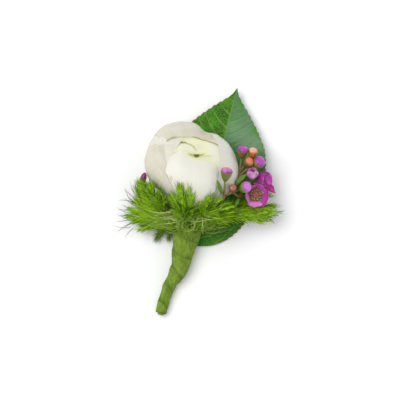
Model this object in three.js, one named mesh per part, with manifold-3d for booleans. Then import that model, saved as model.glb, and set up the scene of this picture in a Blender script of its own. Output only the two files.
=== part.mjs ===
// A ranunculus buttonhole flower lying on a table, in millimetres, +Z up and +Y towards the
// leaf tip. One white bloom is backed by a broad leaf, collared with feathery green dianthus
// plumes, set off by wax flower sprigs, and bound with floral tape into a tapering handle.
import * as THREE from 'three';
import { ParametricGeometry } from 'three/addons/geometries/ParametricGeometry.js';
import { mergeGeometries, mergeVertices } from 'three/addons/utils/BufferGeometryUtils.js';
import Module from 'manifold-3d';

const wasm = await Module();
wasm.setup();

// Bloom: petals wrap a flattened globe whose mouth faces up and away from the handle.
const BLOOM_CENTRE = [-4.7, 17, 20.5];
const BLOOM_AXIS = [0.2, 0.42, 0.885];
const BLOOM_RADIUS = 21.2;
const BLOOM_BREADTH = 1.055; // width of the globe over its height
const BLOOM_DEPTH = 15.5;
const NESTING = 0.55; // share of the sideways spacing of the layers that they keep on the axis
const MOUTH_DIP = 2.6;
const MOUTH_SPREAD = 0.06;
const PETAL_BASE = 165; // degrees from the mouth at which petals leave the receptacle
const PETAL_THICKNESS = 0.024; // as a share of the bloom's radius
const PETAL_ROOT_SHARE = 0.2; // width at the base over the full width
const HEART_LAYER = 0.69;

// name, facing and layer, half width, rim height below the mouth, droop of the rim's ends
const PETALS = [
  ['petal_front', 262, 1, 37, 8, 27],
  ['petal_top', 95, 1, 41, 20, 24],
  ['petal_left', 204, 0.935, 52, 31, 30],
  ['petal_right', 353, 0.955, 56, 30, 24],
  ['petal_upper_left', 148, 0.9, 42, 28, 29],
  ['petal_upper_right', 55, 0.905, 38, 18, 29],
  ['petal_lower', 282, 0.9, 54, 24, 30],
  ['petal_second_top', 100, 0.83, 40, 19, 30],
  ['petal_second_left', 215, 0.83, 44, 22, 30],
  ['petal_second_right', 335, 0.83, 44, 24, 30],
  ['petal_inner_left', 150, 0.76, 40, 17, 30],
  ['petal_inner_right', 30, 0.76, 42, 21, 30],
  ['petal_inner_front', 268, 0.76, 42, 16, 30],
];

const SEPAL_COUNT = 5;
const SEPAL_FIRST = 20;
const SEPAL_BASE = 166;
const SEPAL_TIP = 126;
const SEPAL_LAYER = 1.04;
const SEPAL_REFLEX = 0.05;
const SEPAL_HALF_WIDTH = 17;

const BLOOM_STEM_RADIUS = 1.5;
const BLOOM_STEM_BEND = [
  [-8.2, 9.8, 4.9],
  [-8.3, 6, 3.8],
  [-7.8, 0.5, 4],
  [-6.7, -5.5, 5.4],
];

// Taped handle: centre of the wrap, half width and half height, from its top to its cut end.
const TAPE_STATIONS = [
  [-5, -11.8, 7.2, 6.2, 4.6],
  [-7.1, -18.5, 6.8, 5.7, 4.6],
  [-8.4, -24.2, 6.2, 5, 4.3],
  [-9.6, -30.5, 5.5, 4.1, 3.8],
  [-11.3, -34.3, 4.8, 3.8, 3.4],
  [-14.1, -38.6, 3.8, 2.8, 2.8],
  [-15.7, -42.5, 3.3, 2.6, 2.6],
  [-17.2, -46.3, 2.9, 2.5, 2.5],
  [-18.9, -53.3, 2.4, 2.4, 2.4],
];
const TAPE_WALL = 0.6;
const STEM_OVERHANG = 0.9; // cut end of the bloom stem past the tape
const BUNDLE_GAP = 0.35;
const BUNDLE_TOP = 0;
const BUNDLE_FOOT = 2;
const BUNDLE_CLEARANCE = 0.18; // share of the last station's length

// Leaf: length from tip to base, half widths along it, and how it lies.
const LEAF_TIP = [17.5, 54];
const LEAF_LENGTH = 77.8;
const LEAF_HEADING = [-0.25, -0.968];
const LEAF_HALF_WIDTHS = [
  [0, 0.4],
  [4, 2],
  [11.5, 9],
  [20.2, 16.2],
  [27.8, 20.6],
  [45.6, 23.5],
  [61.4, 19.3],
  [70.6, 13.6],
  [75.5, 7.5],
  [77.8, 1],
];
const LEAF_THICKNESS = 0.8;
const LEAF_RIGHT_RISE = 0.3; // slope of the half that lifts off the table
const LEAF_LEFT_RISE = 0.03;
const LEAF_TIP_LIFT = 5;
const LEAF_TIP_REACH = 24;
const LEAF_BASE_LIFT = 1.2;
const LEAF_BASE_REACH = 14;
const PETIOLE_RADIUS = 0.9;

// Feathery plumes: place in the bundle, spine, half width, half height, and the way they face.
const PLUME_STEM_RADIUS = 0.55;
const PLUMES = [
  ['plume_left_upper', 138, [[-12.9, -6.4, 17.4], [-20.2, -3, 24], [-24.6, 3.5, 29], [-26, 9.8, 31.5]],
    4.2, 1.7, [-0.6, -0.5, 0.6]],
  ['plume_left_lower', 200, [[-13.5, -9, 10.9], [-22, -7.6, 10.8], [-29, -5, 8], [-35, -2.5, 5.5]],
    4.6, 2.4, [0, 0, 1]],
  ['plume_centre', 110, [[-6.6, -8, 16.5], [-7.2, -7, 27], [-8.4, -2.2, 35], [-7.2, 7.6, 39]],
    3.4, 1.4, [0, -0.8, 0.6]],
  ['plume_right_upper', 80, [[-3, -8.5, 15.5], [1.5, -6.2, 25], [7, -2.4, 30], [12.5, 1.2, 31]],
    3.6, 1.4, [0.1, -0.6, 0.75]],
  ['plume_right_long', 20, [[2.8, -9.8, 12], [12, -6.4, 15.5], [24, -5.7, 14.5], [36.3, -6.4, 12]],
    3.6, 1.8, [0, -0.1, 1]],
  ['plume_right_lower', 296, [[3, -8, 7.5], [12, -4.5, 9.3], [24, -2, 10], [35, 0.7, 11]],
    2.8, 1.2, [-0.25, 0, 1]],
  ['plume_tape_side', 230, [[-10.6, -9.4, 4.6], [-15.2, -11, 3.9], [-18.4, -13.4, 3.4], [-20.8, -17, 3]],
    2, 1.2, [0, 0, 1]],
];
const PLUME_FLUTES = 6;
const PLUME_FLUTE_DEPTH = 0.22;

// Wax flower: twigs by their bends, each with its radius, then what they carry.
const RIGHT_TWIGS = [
  [0.8, [[1.2, -8.4, 15], [6.8, -4.8, 20.8], [10.3, -1, 25.4], [10.7, 2.9, 28.4]]],
  [0.5, [[10.7, 2.6, 28.2], [11, 5.6, 30.6], [11.1, 8.9, 32]]],
  [0.5, [[10.6, 2.4, 28], [13.4, 3.6, 26], [15.8, 4.6, 23], [17.5, 5.3, 21.1]]],
  [0.45, [[13, 3.3, 26.3], [14.2, 4.6, 26.2]]],
  [0.6, [[14.6, 4, 25], [17, 7.6, 22], [18.2, 11.8, 20], [21.4, 14.8, 18.2], [24, 16.3, 17.4]]],
  [0.5, [[18, 11, 20.1], [18.3, 15.4, 18.6], [19.1, 20, 18.8]]],
  [0.55, [[15.2, 4, 24.6], [18.2, 2.4, 18], [21.5, 2.6, 13.2], [25.9, 3.3, 12.4]]],
  [0.45, [[18.4, 2.5, 17.4], [20.6, 5.8, 14.8], [23.7, 9.5, 15.5]]],
  [0.4, [[18.1, 13, 19.6], [19, 15, 18.9], [20.1, 16.4, 18.6]]],
  [0.4, [[21.4, 14.8, 18.2], [22.5, 17.2, 18], [23.9, 19.3, 18.2]]],
  [0.45, [[24.2, 3, 12.5], [25.6, 6.2, 10], [26.7, 8.2, 9.5]]],
];
const LEFT_TWIG = [0.6, [[-12.4, -7.9, 13.2], [-20.4, -5.2, 17.4], [-28.3, 1.2, 21.5], [-27.7, 6.4, 25]]];

// name, foot of the cup, direction it faces, width of the cap, length, colour of the cap
const BUDS = [
  ['bud_upper_left', [19.3, 20.7, 19.3], [0.1, 0.75, 0.6], 5.4, 6.4, 0xb03fb4],
  ['bud_peach', [24, 19.7, 18.4], [0.1, 0.8, 0.5], 4.2, 5.8, 0xe09a86],
  ['bud_salmon', [20.3, 16.7, 18.7], [0.55, 0.45, 0.7], 4.4, 5.4, 0xd8684f],
  ['bud_upper_right', [24.8, 16.7, 17.7], [0.62, 0.42, 0.66], 5.6, 5.8, 0xa93fb4],
  ['bud_tall', [11.2, 9.3, 32.3], [0.14, 0.86, 0.49], 5.4, 7.2, 0xb257b6],
  ['bud_small', [14.4, 5.1, 26.5], [0.1, 0.4, 0.85], 3.7, 4.2, 0xc4707a],
  ['bud_lilac', [18, 5.5, 21], [0.78, 0.26, 0.57], 5, 6.2, 0xcb79c9],
  ['bud_left', [-27.6, 7, 25.4], [0.25, 0.9, 0.25], 3, 6.6, 0x8e1c66],
];
const NEEDLES = [
  ['needle_right', [16.2, 8, 23.8], [21, 12.6, 23], 1.3],
  ['needle_tall', [10, 3.6, 29.9], [7.4, 9.8, 36], 0.8],
  ['needle_low', [18, 1.4, 19.4], [16.2, -2.2, 20.2], 0.8],
  ['needle_left', [-28.8, 2.4, 24.2], [-30.3, 8, 25.5], 0.6],
];
// name, foot of the cup, direction it faces, cup radius, cup height, petal length, splay, turn
const FLOWERS = [
  ['flower_open', [26.3, 3.5, 13.2], [-0.12, -0.1, 1], 3, 3, 4, 0.6, -20],
  ['flower_side', [27.1, 8.6, 9.8], [0.5, 0.25, 0.8], 2.2, 2.6, 4.1, 0.6, -60],
];
const FOLDED_FLOWER = ['flower_folded', [23.8, 10, 15.8], [0.1, 0.72, 0.68], 5, 6, 0xc583c8];

const WHITE_PETAL = [0xece9dd, 0.62];
const HEART_GREEN = [0xdfe3a8, 0.62];
const SEPAL_GREEN = [0x9aab78, 0.6];
const STEM_GREEN = [0x7f9a4c, 0.6];
const LEAF_GREEN = [0x2f7a24, 0.38];
const PLUME_GREEN = [0x6aa51e, 0.7];
const TAPE_GREEN = [0x6f9540, 0.75];
const TWIG_BROWN = [0x8a7440, 0.65];
const NEEDLE_GREEN = [0x5b8a2a, 0.55];
const CUP_GREEN = [0x8a8f3c, 0.5];
const MAGENTA = [0xb53fae, 0.5];

const vec = (p) => new THREE.Vector3(...p);
const unit = (p) => vec(p).normalize();
const rad = THREE.MathUtils.degToRad;
const curveThrough = (points) => new THREE.CatmullRomCurve3(points, false, 'centripetal');

function mesh(name, geometry, [colour, roughness]) {
  const material = new THREE.MeshStandardMaterial({ color: colour, roughness, metalness: 0 });
  const made = new THREE.Mesh(geometry, material);
  made.name = name;
  return made;
}

function bare(geometry) {
  const copy = geometry.clone();
  for (const extra of ['normal', 'uv']) {
    copy.deleteAttribute(extra);
  }
  return mergeVertices(copy, 1e-3);
}

function signedVolume(geometry) {
  const at = geometry.getAttribute('position');
  const index = geometry.index.array;
  const corner = (i) => new THREE.Vector3().fromBufferAttribute(at, index[i]);
  let sum = 0;
  for (let i = 0; i < index.length; i += 3) {
    sum += corner(i).dot(corner(i + 1).cross(corner(i + 2)));
  }
  return sum / 6;
}

// Merges shared corners and turns every face outwards.
function closed(geometry) {
  const body = bare(geometry);
  if (signedVolume(body) < 0) {
    body.index.array.reverse();
  }
  body.computeVertexNormals();
  return body;
}

function solid(geometry) {
  const body = closed(geometry);
  return new wasm.Manifold(new wasm.Mesh({
    numProp: 3,
    vertProperties: body.getAttribute('position').array,
    triVerts: new Uint32Array(body.index.array),
  }));
}

function geometryOf(manifold) {
  const { vertProperties, triVerts } = manifold.getMesh();
  const geometry = new THREE.BufferGeometry();
  geometry.setAttribute('position', new THREE.BufferAttribute(vertProperties, 3));
  geometry.setIndex(new THREE.BufferAttribute(triVerts, 1));
  geometry.computeVertexNormals();
  return geometry;
}

function joined(geometries) {
  return geometryOf(geometries.map(solid).reduce((whole, piece) => whole.add(piece)));
}

// A thin blade: two faces split into the same triangles, and the narrow wall round their edge.
// faceAt(u, v, side) gives the point at u along and v across (-1 to 1) on the face side (0 or 1).
function blade(faceAt, along, across) {
  const between = (u, v, a) => faceAt(u, 2 * v - 1, 0).lerp(faceAt(u, 2 * v - 1, 1), a);
  const patches = [
    [(u, v, target) => target.copy(between(u, v, 0)), along, across, false],
    [(u, v, target) => target.copy(between(u, v, 1)), along, across, true],
    [(a, v, target) => target.copy(between(0, v, 1 - a)), 1, across, false],
    [(a, v, target) => target.copy(between(1, v, a)), 1, across, false],
    [(u, a, target) => target.copy(between(u, 0, 1 - a)), along, 1, false],
    [(u, a, target) => target.copy(between(u, 1, a)), along, 1, false],
  ];
  const sheets = patches.map(([at, n, m, turned]) => {
    const sheet = bare(new ParametricGeometry(at, n, m));
    if (turned) {
      sheet.index.array.reverse();
    }
    return sheet;
  });
  return closed(mergeGeometries(sheets));
}

// Thickness across a blade, as a share of that on its middle line.
const swell = (v) => 1 - 0.4 * v * v;

function tube(points, radius, sides = 8, steps = 12) {
  const section = new THREE.Shape();
  for (let i = 0; i < sides; i += 1) {
    const turn = (2 * Math.PI * i) / sides;
    const corner = [radius * Math.cos(turn), radius * Math.sin(turn)];
    if (i === 0) {
      section.moveTo(...corner);
    } else {
      section.lineTo(...corner);
    }
  }
  section.closePath();
  return new THREE.ExtrudeGeometry(section, {
    steps,
    extrudePath: curveThrough(points),
    bevelEnabled: false,
  });
}

// A closed body round a curve; sizeAt(u) gives half width and half height, zero at both ends.
function spindle(points, facing, sizeAt, sides, steps, fluteDepth = 0) {
  const curve = curveThrough(points);
  const round = (u, v, target) => {
    const tangent = curve.getTangent(u);
    const across = facing.clone().cross(tangent).normalize();
    const out = tangent.clone().cross(across).normalize();
    const turn = 2 * Math.PI * v;
    const flute = 1 - fluteDepth * (0.5 + 0.5 * Math.cos(turn * PLUME_FLUTES));
    const [width, height] = sizeAt(u);
    target.copy(curve.getPoint(u));
    target.addScaledVector(across, width * flute * Math.cos(turn));
    target.addScaledVector(out, height * flute * Math.sin(turn));
  };
  return closed(new ParametricGeometry(round, steps, sides));
}

function lathe(profile, segments) {
  const outline = profile.map(([r, z]) => new THREE.Vector2(r, z));
  return closed(new THREE.LatheGeometry(outline, segments).rotateX(Math.PI / 2));
}

// Bloom, in its own frame: +Z out of the mouth, angles in degrees.
function bloomPoint(facing, fromMouth, sideways, layer) {
  const s = rad(fromMouth);
  const t = rad(sideways);
  const f = rad(facing);
  const out = Math.cos(t) * Math.sin(s);
  const up = Math.cos(t) * Math.cos(s);
  const dip = up > 0 ? MOUTH_DIP * Math.exp((up - 1) / MOUTH_SPREAD) : 0;
  return new THREE.Vector3(
    BLOOM_RADIUS * BLOOM_BREADTH * layer * (out * Math.cos(f) - Math.sin(t) * Math.sin(f)),
    BLOOM_RADIUS * layer * (out * Math.sin(f) + Math.sin(t) * Math.cos(f)),
    BLOOM_DEPTH * (1 - NESTING * (1 - layer)) * up - dip,
  );
}

// Share of the full width at u from base (0) to rim (1): narrow claw, broad above.
const petalWidth = (u) => PETAL_ROOT_SHARE + (1 - PETAL_ROOT_SHARE) * Math.sin(1.9 * u ** 0.8);

function petal([name, facing, layer, halfWidth, rim, droop]) {
  const faceAt = (u, v, side) => {
    const top = rim + droop * Math.abs(v) ** 2.5;
    const fromMouth = PETAL_BASE + (top - PETAL_BASE) * u;
    const depth = side ? PETAL_THICKNESS * swell(v) : 0;
    return bloomPoint(facing, fromMouth, halfWidth * petalWidth(u) * v, layer - depth);
  };
  return mesh(name, blade(faceAt, 11, 10), WHITE_PETAL);
}

function sepal(i) {
  const facing = SEPAL_FIRST + (360 * i) / SEPAL_COUNT;
  const faceAt = (u, v, side) => {
    const layer = SEPAL_LAYER + SEPAL_REFLEX * u * u + (side ? 0 : 0.03 * swell(v));
    const width = SEPAL_HALF_WIDTH * Math.sin(Math.PI * (0.12 + 0.8 * u));
    return bloomPoint(facing, SEPAL_BASE + (SEPAL_TIP - SEPAL_BASE) * u, width * v, layer);
  };
  return mesh(`sepal_${i + 1}`, blade(faceAt, 5, 4), SEPAL_GREEN);
}

// The tight middle of the bloom, whose petals have not opened.
function heart() {
  const surface = (u, v, target) => {
    target.copy(bloomPoint(360 * v, 180 * u, 0, HEART_LAYER));
  };
  return mesh('heart', closed(new ParametricGeometry(surface, 10, 16)), HEART_GREEN);
}

function bloomFrame() {
  const axis = unit(BLOOM_AXIS);
  const up = new THREE.Vector3(0, 1, 0);
  up.addScaledVector(axis, -up.dot(axis)).normalize();
  const across = up.clone().cross(axis);
  const frame = new THREE.Matrix4().makeBasis(across, up, axis);
  return frame.setPosition(vec(BLOOM_CENTRE));
}

function bloomStem() {
  const receptacle = lathe([[0, -13.9], [4, -14.1], [4.9, -15.4], [4.3, -16.8], [1.9, -18.2],
    [0, -18.6]], 16).applyMatrix4(bloomFrame());
  const centres = TAPE_STATIONS.map(([x, y, z]) => [x, y, z]);
  const end = vec(centres.at(-1));
  const run = end.clone().sub(vec(centres.at(-2))).normalize();
  const path = [...BLOOM_STEM_BEND, ...centres].map(vec);
  path.push(end.addScaledVector(run, STEM_OVERHANG));
  return mesh('bloom_stem', joined([receptacle, tube(path, BLOOM_STEM_RADIUS, 9, 24)]), STEM_GREEN);
}

function bloom() {
  const group = new THREE.Group();
  bloomFrame().decompose(group.position, group.quaternion, group.scale);
  group.add(heart(), ...PETALS.map(petal));
  for (let i = 0; i < SEPAL_COUNT; i += 1) {
    group.add(sepal(i));
  }
  return group;
}

// Where a stem lies in the bundle: turn round it, station of the handle, and stem radius.
function bundlePoint(turn, station, radius) {
  const [x, y, z, width, height] = TAPE_STATIONS[station];
  const next = TAPE_STATIONS[station + 1];
  const along = unit([x - next[0], y - next[1], 0]);
  const side = along.clone().cross(new THREE.Vector3(0, 0, 1));
  const inset = TAPE_WALL + BUNDLE_GAP + radius;
  const point = new THREE.Vector3(x, y, z + (height - inset) * Math.sin(rad(turn)));
  return point.addScaledVector(side, (width - inset) * Math.cos(rad(turn)));
}

// A stem's path inside the wrap and a short way straight out of its top.
function bundleStem(turn, radius) {
  const path = [BUNDLE_FOOT, BUNDLE_FOOT - 1, BUNDLE_TOP].map((s) => bundlePoint(turn, s, radius));
  const clear = path.at(-1).clone().lerp(path.at(-2), -BUNDLE_CLEARANCE);
  return [...path, clear];
}

function petiolePath() {
  const [x, y] = LEAF_TIP;
  const base = [x + LEAF_HEADING[0] * LEAF_LENGTH, y + LEAF_HEADING[1] * LEAF_LENGTH];
  return [
    bundlePoint(322, BUNDLE_FOOT, PETIOLE_RADIUS),
    new THREE.Vector3(base[0] - 1.4, base[1] - 0.9, LEAF_BASE_LIFT + 1.7),
    new THREE.Vector3(base[0] + 0.4, base[1] + 1.4, LEAF_BASE_LIFT + 0.7),
    new THREE.Vector3(base[0] + 1.5, base[1] + 5.8, LEAF_BASE_LIFT + 0.35),
  ];
}

function tape() {
  const centre = curveThrough(TAPE_STATIONS.map(([x, y, z]) => new THREE.Vector3(x, y, z)));
  const sizes = curveThrough(TAPE_STATIONS.map(([, , , w, h]) => new THREE.Vector3(w, h, 0)));
  const last = 13;
  const rows = 2 * (last + 1);
  const wall = (u, v, target) => {
    const row = Math.round(u * rows) % rows;
    const inside = row > last;
    const place = (inside ? rows - 1 - row : row) / last;
    const tangent = centre.getTangent(place).setZ(0).normalize();
    const side = new THREE.Vector3(0, 0, 1).cross(tangent);
    const size = sizes.getPoint(place);
    const turn = 2 * Math.PI * v;
    const inset = inside ? TAPE_WALL : 0;
    target.copy(centre.getPoint(place));
    target.addScaledVector(side, (size.x - inset) * Math.cos(turn));
    target.z += (size.y - inset) * Math.sin(turn);
  };
  const sleeve = solid(new ParametricGeometry(wall, rows, 16));
  const slot = solid(tube(petiolePath(), PETIOLE_RADIUS + BUNDLE_GAP, 8, 10));
  return mesh('floral_tape', geometryOf(sleeve.subtract(slot)), TAPE_GREEN);
}

function leafPoint(along, across, lift) {
  const tip = LEAF_TIP_LIFT * Math.max(0, 1 - along / LEAF_TIP_REACH) ** 2;
  const fromBase = LEAF_LENGTH - along;
  const base = LEAF_BASE_LIFT * Math.max(0, 1 - fromBase / LEAF_BASE_REACH) ** 2;
  const rise = across > 0 ? LEAF_RIGHT_RISE : LEAF_LEFT_RISE;
  return new THREE.Vector3(
    LEAF_TIP[0] + LEAF_HEADING[0] * along - LEAF_HEADING[1] * across,
    LEAF_TIP[1] + LEAF_HEADING[1] * along + LEAF_HEADING[0] * across,
    tip + base + rise * Math.abs(across) + lift,
  );
}

function leaf() {
  const outline = curveThrough(LEAF_HALF_WIDTHS.map(([a, w]) => new THREE.Vector3(a, w, 0)));
  const faceAt = (u, v, side) => {
    const { x: along, y: width } = outline.getPoint(u);
    return leafPoint(along, width * v, side ? 0 : LEAF_THICKNESS * swell(v));
  };
  const surface = blade(faceAt, 15, 6);
  return mesh('leaf', joined([surface, tube(petiolePath(), PETIOLE_RADIUS, 8, 10)]), LEAF_GREEN);
}

// A feathery head on a thin stem that starts inside the taped bundle.
function plume([name, turn, spine, halfWidth, halfHeight, facing]) {
  const bundle = bundleStem(turn, PLUME_STEM_RADIUS);
  const start = vec(spine[0]);
  const sizeAt = (u) => {
    const full = Math.sin(Math.PI * u ** 0.75) ** 0.8;
    return [halfWidth * full, halfHeight * full];
  };
  const head = spindle(spine.map(vec), unit(facing), sizeAt, 2 * PLUME_FLUTES, 9, PLUME_FLUTE_DEPTH);
  const into = start.clone().lerp(vec(spine[1]), 0.5);
  const stalk = tube([...bundle, start, into], PLUME_STEM_RADIUS, 6, 9);
  return mesh(name, joined([head, stalk]), PLUME_GREEN);
}

function twigs(name, bundleTurn, list) {
  const [radius, first] = list[0];
  const trunk = tube([...bundleStem(bundleTurn, radius), ...first.map(vec)], radius, 6, 12);
  const branches = list.slice(1).map(([r, points]) => tube(points.map(vec), r, 5, 5));
  return mesh(name, joined([trunk, ...branches]), TWIG_BROWN);
}

// Turns a body made along +Z to face a direction and stands its foot on a point.
function aimed(body, foot, direction) {
  body.position.copy(vec(foot));
  body.quaternion.setFromUnitVectors(new THREE.Vector3(0, 0, 1), unit(direction));
  return body;
}

// A funnel-shaped cup closed by its domed petals.
function bud([name, foot, direction, width, length, colour]) {
  const r = width / 2;
  const profile = [[0, 0], [0.16 * r, 0.02 * length], [0.42 * r, 0.3 * length],
    [0.92 * r, 0.66 * length], [r, 0.74 * length], [0.86 * r, 0.88 * length],
    [0.45 * r, 0.98 * length], [0, length]];
  return aimed(mesh(name, lathe(profile, 12), [colour, 0.45]), foot, direction);
}

function needle([name, foot, tip, width]) {
  const path = [vec(foot), vec(foot).lerp(vec(tip), 0.5), vec(tip)];
  path[1].z += 0.4;
  const sizeAt = (u) => {
    const full = Math.sqrt(Math.max(0, Math.sin(Math.PI * u)));
    return [(width / 2) * full * 1.6, (width / 2) * full];
  };
  const facing = new THREE.Vector3(0, 0, 1);
  return mesh(name, spindle(path, facing, sizeAt, 6, 5), NEEDLE_GREEN);
}

function cup(name, radius, height) {
  const rim = height;
  const floor = 0.55 * height;
  const profile = [[0, 0], [0.3 * radius, 0.05 * height], [0.8 * radius, 0.5 * height],
    [radius, rim], [0.8 * radius, rim], [0.62 * radius, floor], [0, floor]];
  return mesh(name, lathe(profile, 14), CUP_GREEN);
}

function flowerPetal(name, radius, height, length, splay, turn) {
  const faceAt = (u, v, side) => {
    const reach = length * u;
    const width = 0.62 * length * Math.sin(Math.PI * (0.1 + 0.86 * u)) ** 0.6;
    const out = radius + 0.35 + reach * splay;
    const up = height + reach * (1 - splay) * 0.9 + 0.1 * length * v * v;
    return new THREE.Vector3(out, width * v, up + (side ? 0 : 0.32 * swell(v)));
  };
  const made = mesh(name, blade(faceAt, 5, 4), MAGENTA);
  made.rotation.z = turn;
  return made;
}

function openFlower([name, foot, direction, radius, height, length, splay, turn]) {
  const group = aimed(new THREE.Group(), foot, direction);
  group.add(cup(`${name}_cup`, radius, height));
  for (let i = 0; i < 5; i += 1) {
    const angle = rad(turn + 72 * i);
    group.add(flowerPetal(`${name}_petal_${i + 1}`, radius, height, length, splay, angle));
  }
  return group;
}

// A flower whose petals are still folded over its cup.
function foldedFlower([name, foot, direction, width, length, colour]) {
  const group = aimed(new THREE.Group(), foot, direction);
  const r = width / 2;
  const folded = lathe([[0, 0.52 * length], [0.86 * r, 0.5 * length], [r, 0.7 * length],
    [0.7 * r, 0.95 * length], [0, length]], 12);
  group.add(
    cup(`${name}_cup`, 0.8 * r, 0.45 * length),
    mesh(`${name}_petals`, folded, [colour, 0.5]),
  );
  return group;
}

function boutonniere() {
  const flower = new THREE.Group();
  flower.add(
    bloom(),
    bloomStem(),
    leaf(),
    tape(),
    ...PLUMES.map(plume),
    twigs('wax_twig_right', 50, RIGHT_TWIGS),
    twigs('wax_twig_left', 169, [LEFT_TWIG]),
    ...BUDS.map(bud),
    ...NEEDLES.map(needle),
    ...FLOWERS.map(openFlower),
    foldedFlower(FOLDED_FLOWER),
  );
  return flower;
}

// Sets the origin under the middle of the object, on the table.
function laidDown(flower) {
  const whole = new THREE.Group();
  whole.add(flower);
  whole.updateMatrixWorld(true);
  const box = new THREE.Box3().setFromObject(whole, true);
  const middle = box.getCenter(new THREE.Vector3());
  flower.position.set(-middle.x, -middle.y, -box.min.z);
  return whole;
}

export default laidDown(boutonniere());
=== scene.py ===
import math

import bpy
import numpy as np
from bpy.props import FloatProperty, FloatVectorProperty, IntProperty, PointerProperty
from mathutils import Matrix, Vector


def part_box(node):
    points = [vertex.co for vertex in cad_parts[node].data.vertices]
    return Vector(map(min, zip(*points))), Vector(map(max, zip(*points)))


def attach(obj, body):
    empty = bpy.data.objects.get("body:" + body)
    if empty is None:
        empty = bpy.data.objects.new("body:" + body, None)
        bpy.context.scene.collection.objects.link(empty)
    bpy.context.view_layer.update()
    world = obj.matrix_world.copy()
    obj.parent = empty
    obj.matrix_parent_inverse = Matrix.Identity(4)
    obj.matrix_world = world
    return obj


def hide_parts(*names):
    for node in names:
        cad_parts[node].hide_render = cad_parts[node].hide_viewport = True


bl_info = {
    "name": "Ranunculus Buttonhole Flower",
    "version": (1, 0, 0),
    "blender": (4, 5, 0),
    "location": "3D View > Sidebar > Buttonhole",
    "description": "Builds a lying ranunculus buttonhole flower with greenery and tape",
    "category": "Add Mesh",
}

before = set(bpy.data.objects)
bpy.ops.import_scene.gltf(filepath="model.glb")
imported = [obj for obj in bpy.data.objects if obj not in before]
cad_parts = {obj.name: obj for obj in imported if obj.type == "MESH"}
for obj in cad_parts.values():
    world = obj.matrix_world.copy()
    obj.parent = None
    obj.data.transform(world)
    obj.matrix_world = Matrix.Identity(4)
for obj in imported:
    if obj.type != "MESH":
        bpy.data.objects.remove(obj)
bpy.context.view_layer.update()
MM = 0.001

# Layout, in millimetres, the same as the construction's. +Z is up and +Y runs to the leaf tip.
BLOOM_CENTRE = (-4.7, 17, 20.5)
BLOOM_AXIS = (0.2, 0.42, 0.885)
BLOOM_RADIUS = 21.2
BLOOM_BREADTH = 1.055
BLOOM_DEPTH = 15.5
NESTING = 0.55
MOUTH_DIP = 2.6
MOUTH_SPREAD = 0.06
PETAL_BASE = 165
HEART_LAYER = 0.69
HEART_GRID = (10, 16)

# The wrap from its top to its cut end: middle x, y and z, half width, half height.
TAPE_STATIONS = (
    (-5, -11.8, 7.2, 6.2, 4.6),
    (-7.1, -18.5, 6.8, 5.7, 4.6),
    (-8.4, -24.2, 6.2, 5, 4.3),
    (-9.6, -30.5, 5.5, 4.1, 3.8),
    (-11.3, -34.3, 4.8, 3.8, 3.4),
    (-14.1, -38.6, 3.8, 2.8, 2.8),
    (-15.7, -42.5, 3.3, 2.6, 2.6),
    (-17.2, -46.3, 2.9, 2.5, 2.5),
    (-18.9, -53.3, 2.4, 2.4, 2.4),
)
TAPE_WALL = 0.6
STEM_OVERHANG = 0.9
# Stems run between two of the wrap's stations, and a share of a station's step past its top.
BUNDLE_GAP = 0.35
BUNDLE_TOP = 0
BUNDLE_FOOT = 2
BUNDLE_CLEARANCE = 0.18
BLOOM_STEM_BEND = ((-8.2, 9.8, 4.9), (-8.3, 6, 3.8), (-7.8, 0.5, 4), (-6.7, -5.5, 5.4))
BLOOM_STEM_RADIUS = 1.5

# Reaches of the leaf are measured from its tip, or from its base for the lift there.
LEAF_TIP = (17.5, 54)
LEAF_LENGTH = 77.8
LEAF_HEADING = (-0.25, -0.968)
# Distance from the tip, and the half width there.
LEAF_HALF_WIDTHS = (
    (0, 0.1), (4, 2), (11.5, 9), (20.2, 16.2), (27.8, 20.6),
    (45.6, 23.5), (61.4, 19.3), (70.6, 13.6), (75.5, 7.5), (77.8, 0.6),
)
LEAF_RIGHT_RISE = 0.3
LEAF_LEFT_RISE = 0.03
LEAF_LEFT_CUP = 0.16
LEAF_CUP_REACH = (16, 40)
LEAF_FOOT_DROP = 0.85
LEAF_FOOT_REACH = (42, 58)
LEAF_GLOSS_REACH = (40, 56)
LEAF_TIP_LIFT = 5
LEAF_TIP_REACH = 24
LEAF_BASE_LIFT = 1.2
LEAF_BASE_REACH = 14


def unit(vector):
    vector = np.asarray(vector, float)
    return vector / np.linalg.norm(vector, axis=-1, keepdims=True)


def smooth(low, high, value):
    """0 below low, 1 above high, and an eased step between."""
    x = np.clip((np.asarray(value, float) - low) / (high - low), 0, 1)
    return x * x * (3 - 2 * x)


def bloom_basis():
    axis = unit(BLOOM_AXIS)
    up = np.array([0.0, 1.0, 0.0])
    up = unit(up - (up @ axis) * axis)
    return np.array([np.cross(up, axis), up, axis])


BASIS = bloom_basis()


def bloom_point(facing, from_mouth, sideways, layer, dip=MOUTH_DIP):
    """A point of the bloom's globe, in layout millimetres. The angles are in degrees."""
    f, s, t = np.radians(facing), np.radians(from_mouth), np.radians(sideways)
    out, rise = np.cos(t) * np.sin(s), np.cos(t) * np.cos(s)
    hollow = np.where(rise > 0, dip * np.exp((rise - 1) / MOUTH_SPREAD), 0)
    local = np.stack(np.broadcast_arrays(
        BLOOM_RADIUS * BLOOM_BREADTH * layer * (out * np.cos(f) - np.sin(t) * np.sin(f)),
        BLOOM_RADIUS * layer * (out * np.sin(f) + np.sin(t) * np.cos(f)),
        BLOOM_DEPTH * (1 - NESTING * (1 - layer)) * rise - hollow,
    ), -1)
    return np.array(BLOOM_CENTRE) + local @ BASIS


def layout_origin():
    """What turns layout places into the frame's, from where the frame holds the bloom's heart."""
    along, around = HEART_GRID
    down, turn = np.meshgrid(np.linspace(0, 180, along + 1), np.linspace(0, 360, around + 1))
    low = bloom_point(turn, down, 0, HEART_LAYER).reshape(-1, 3).min(0)
    return np.array(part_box("heart")[0]) / MM - low


ORIGIN = layout_origin()


def in_frame(points):
    return (np.asarray(points, float) + ORIGIN) * MM


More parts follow.
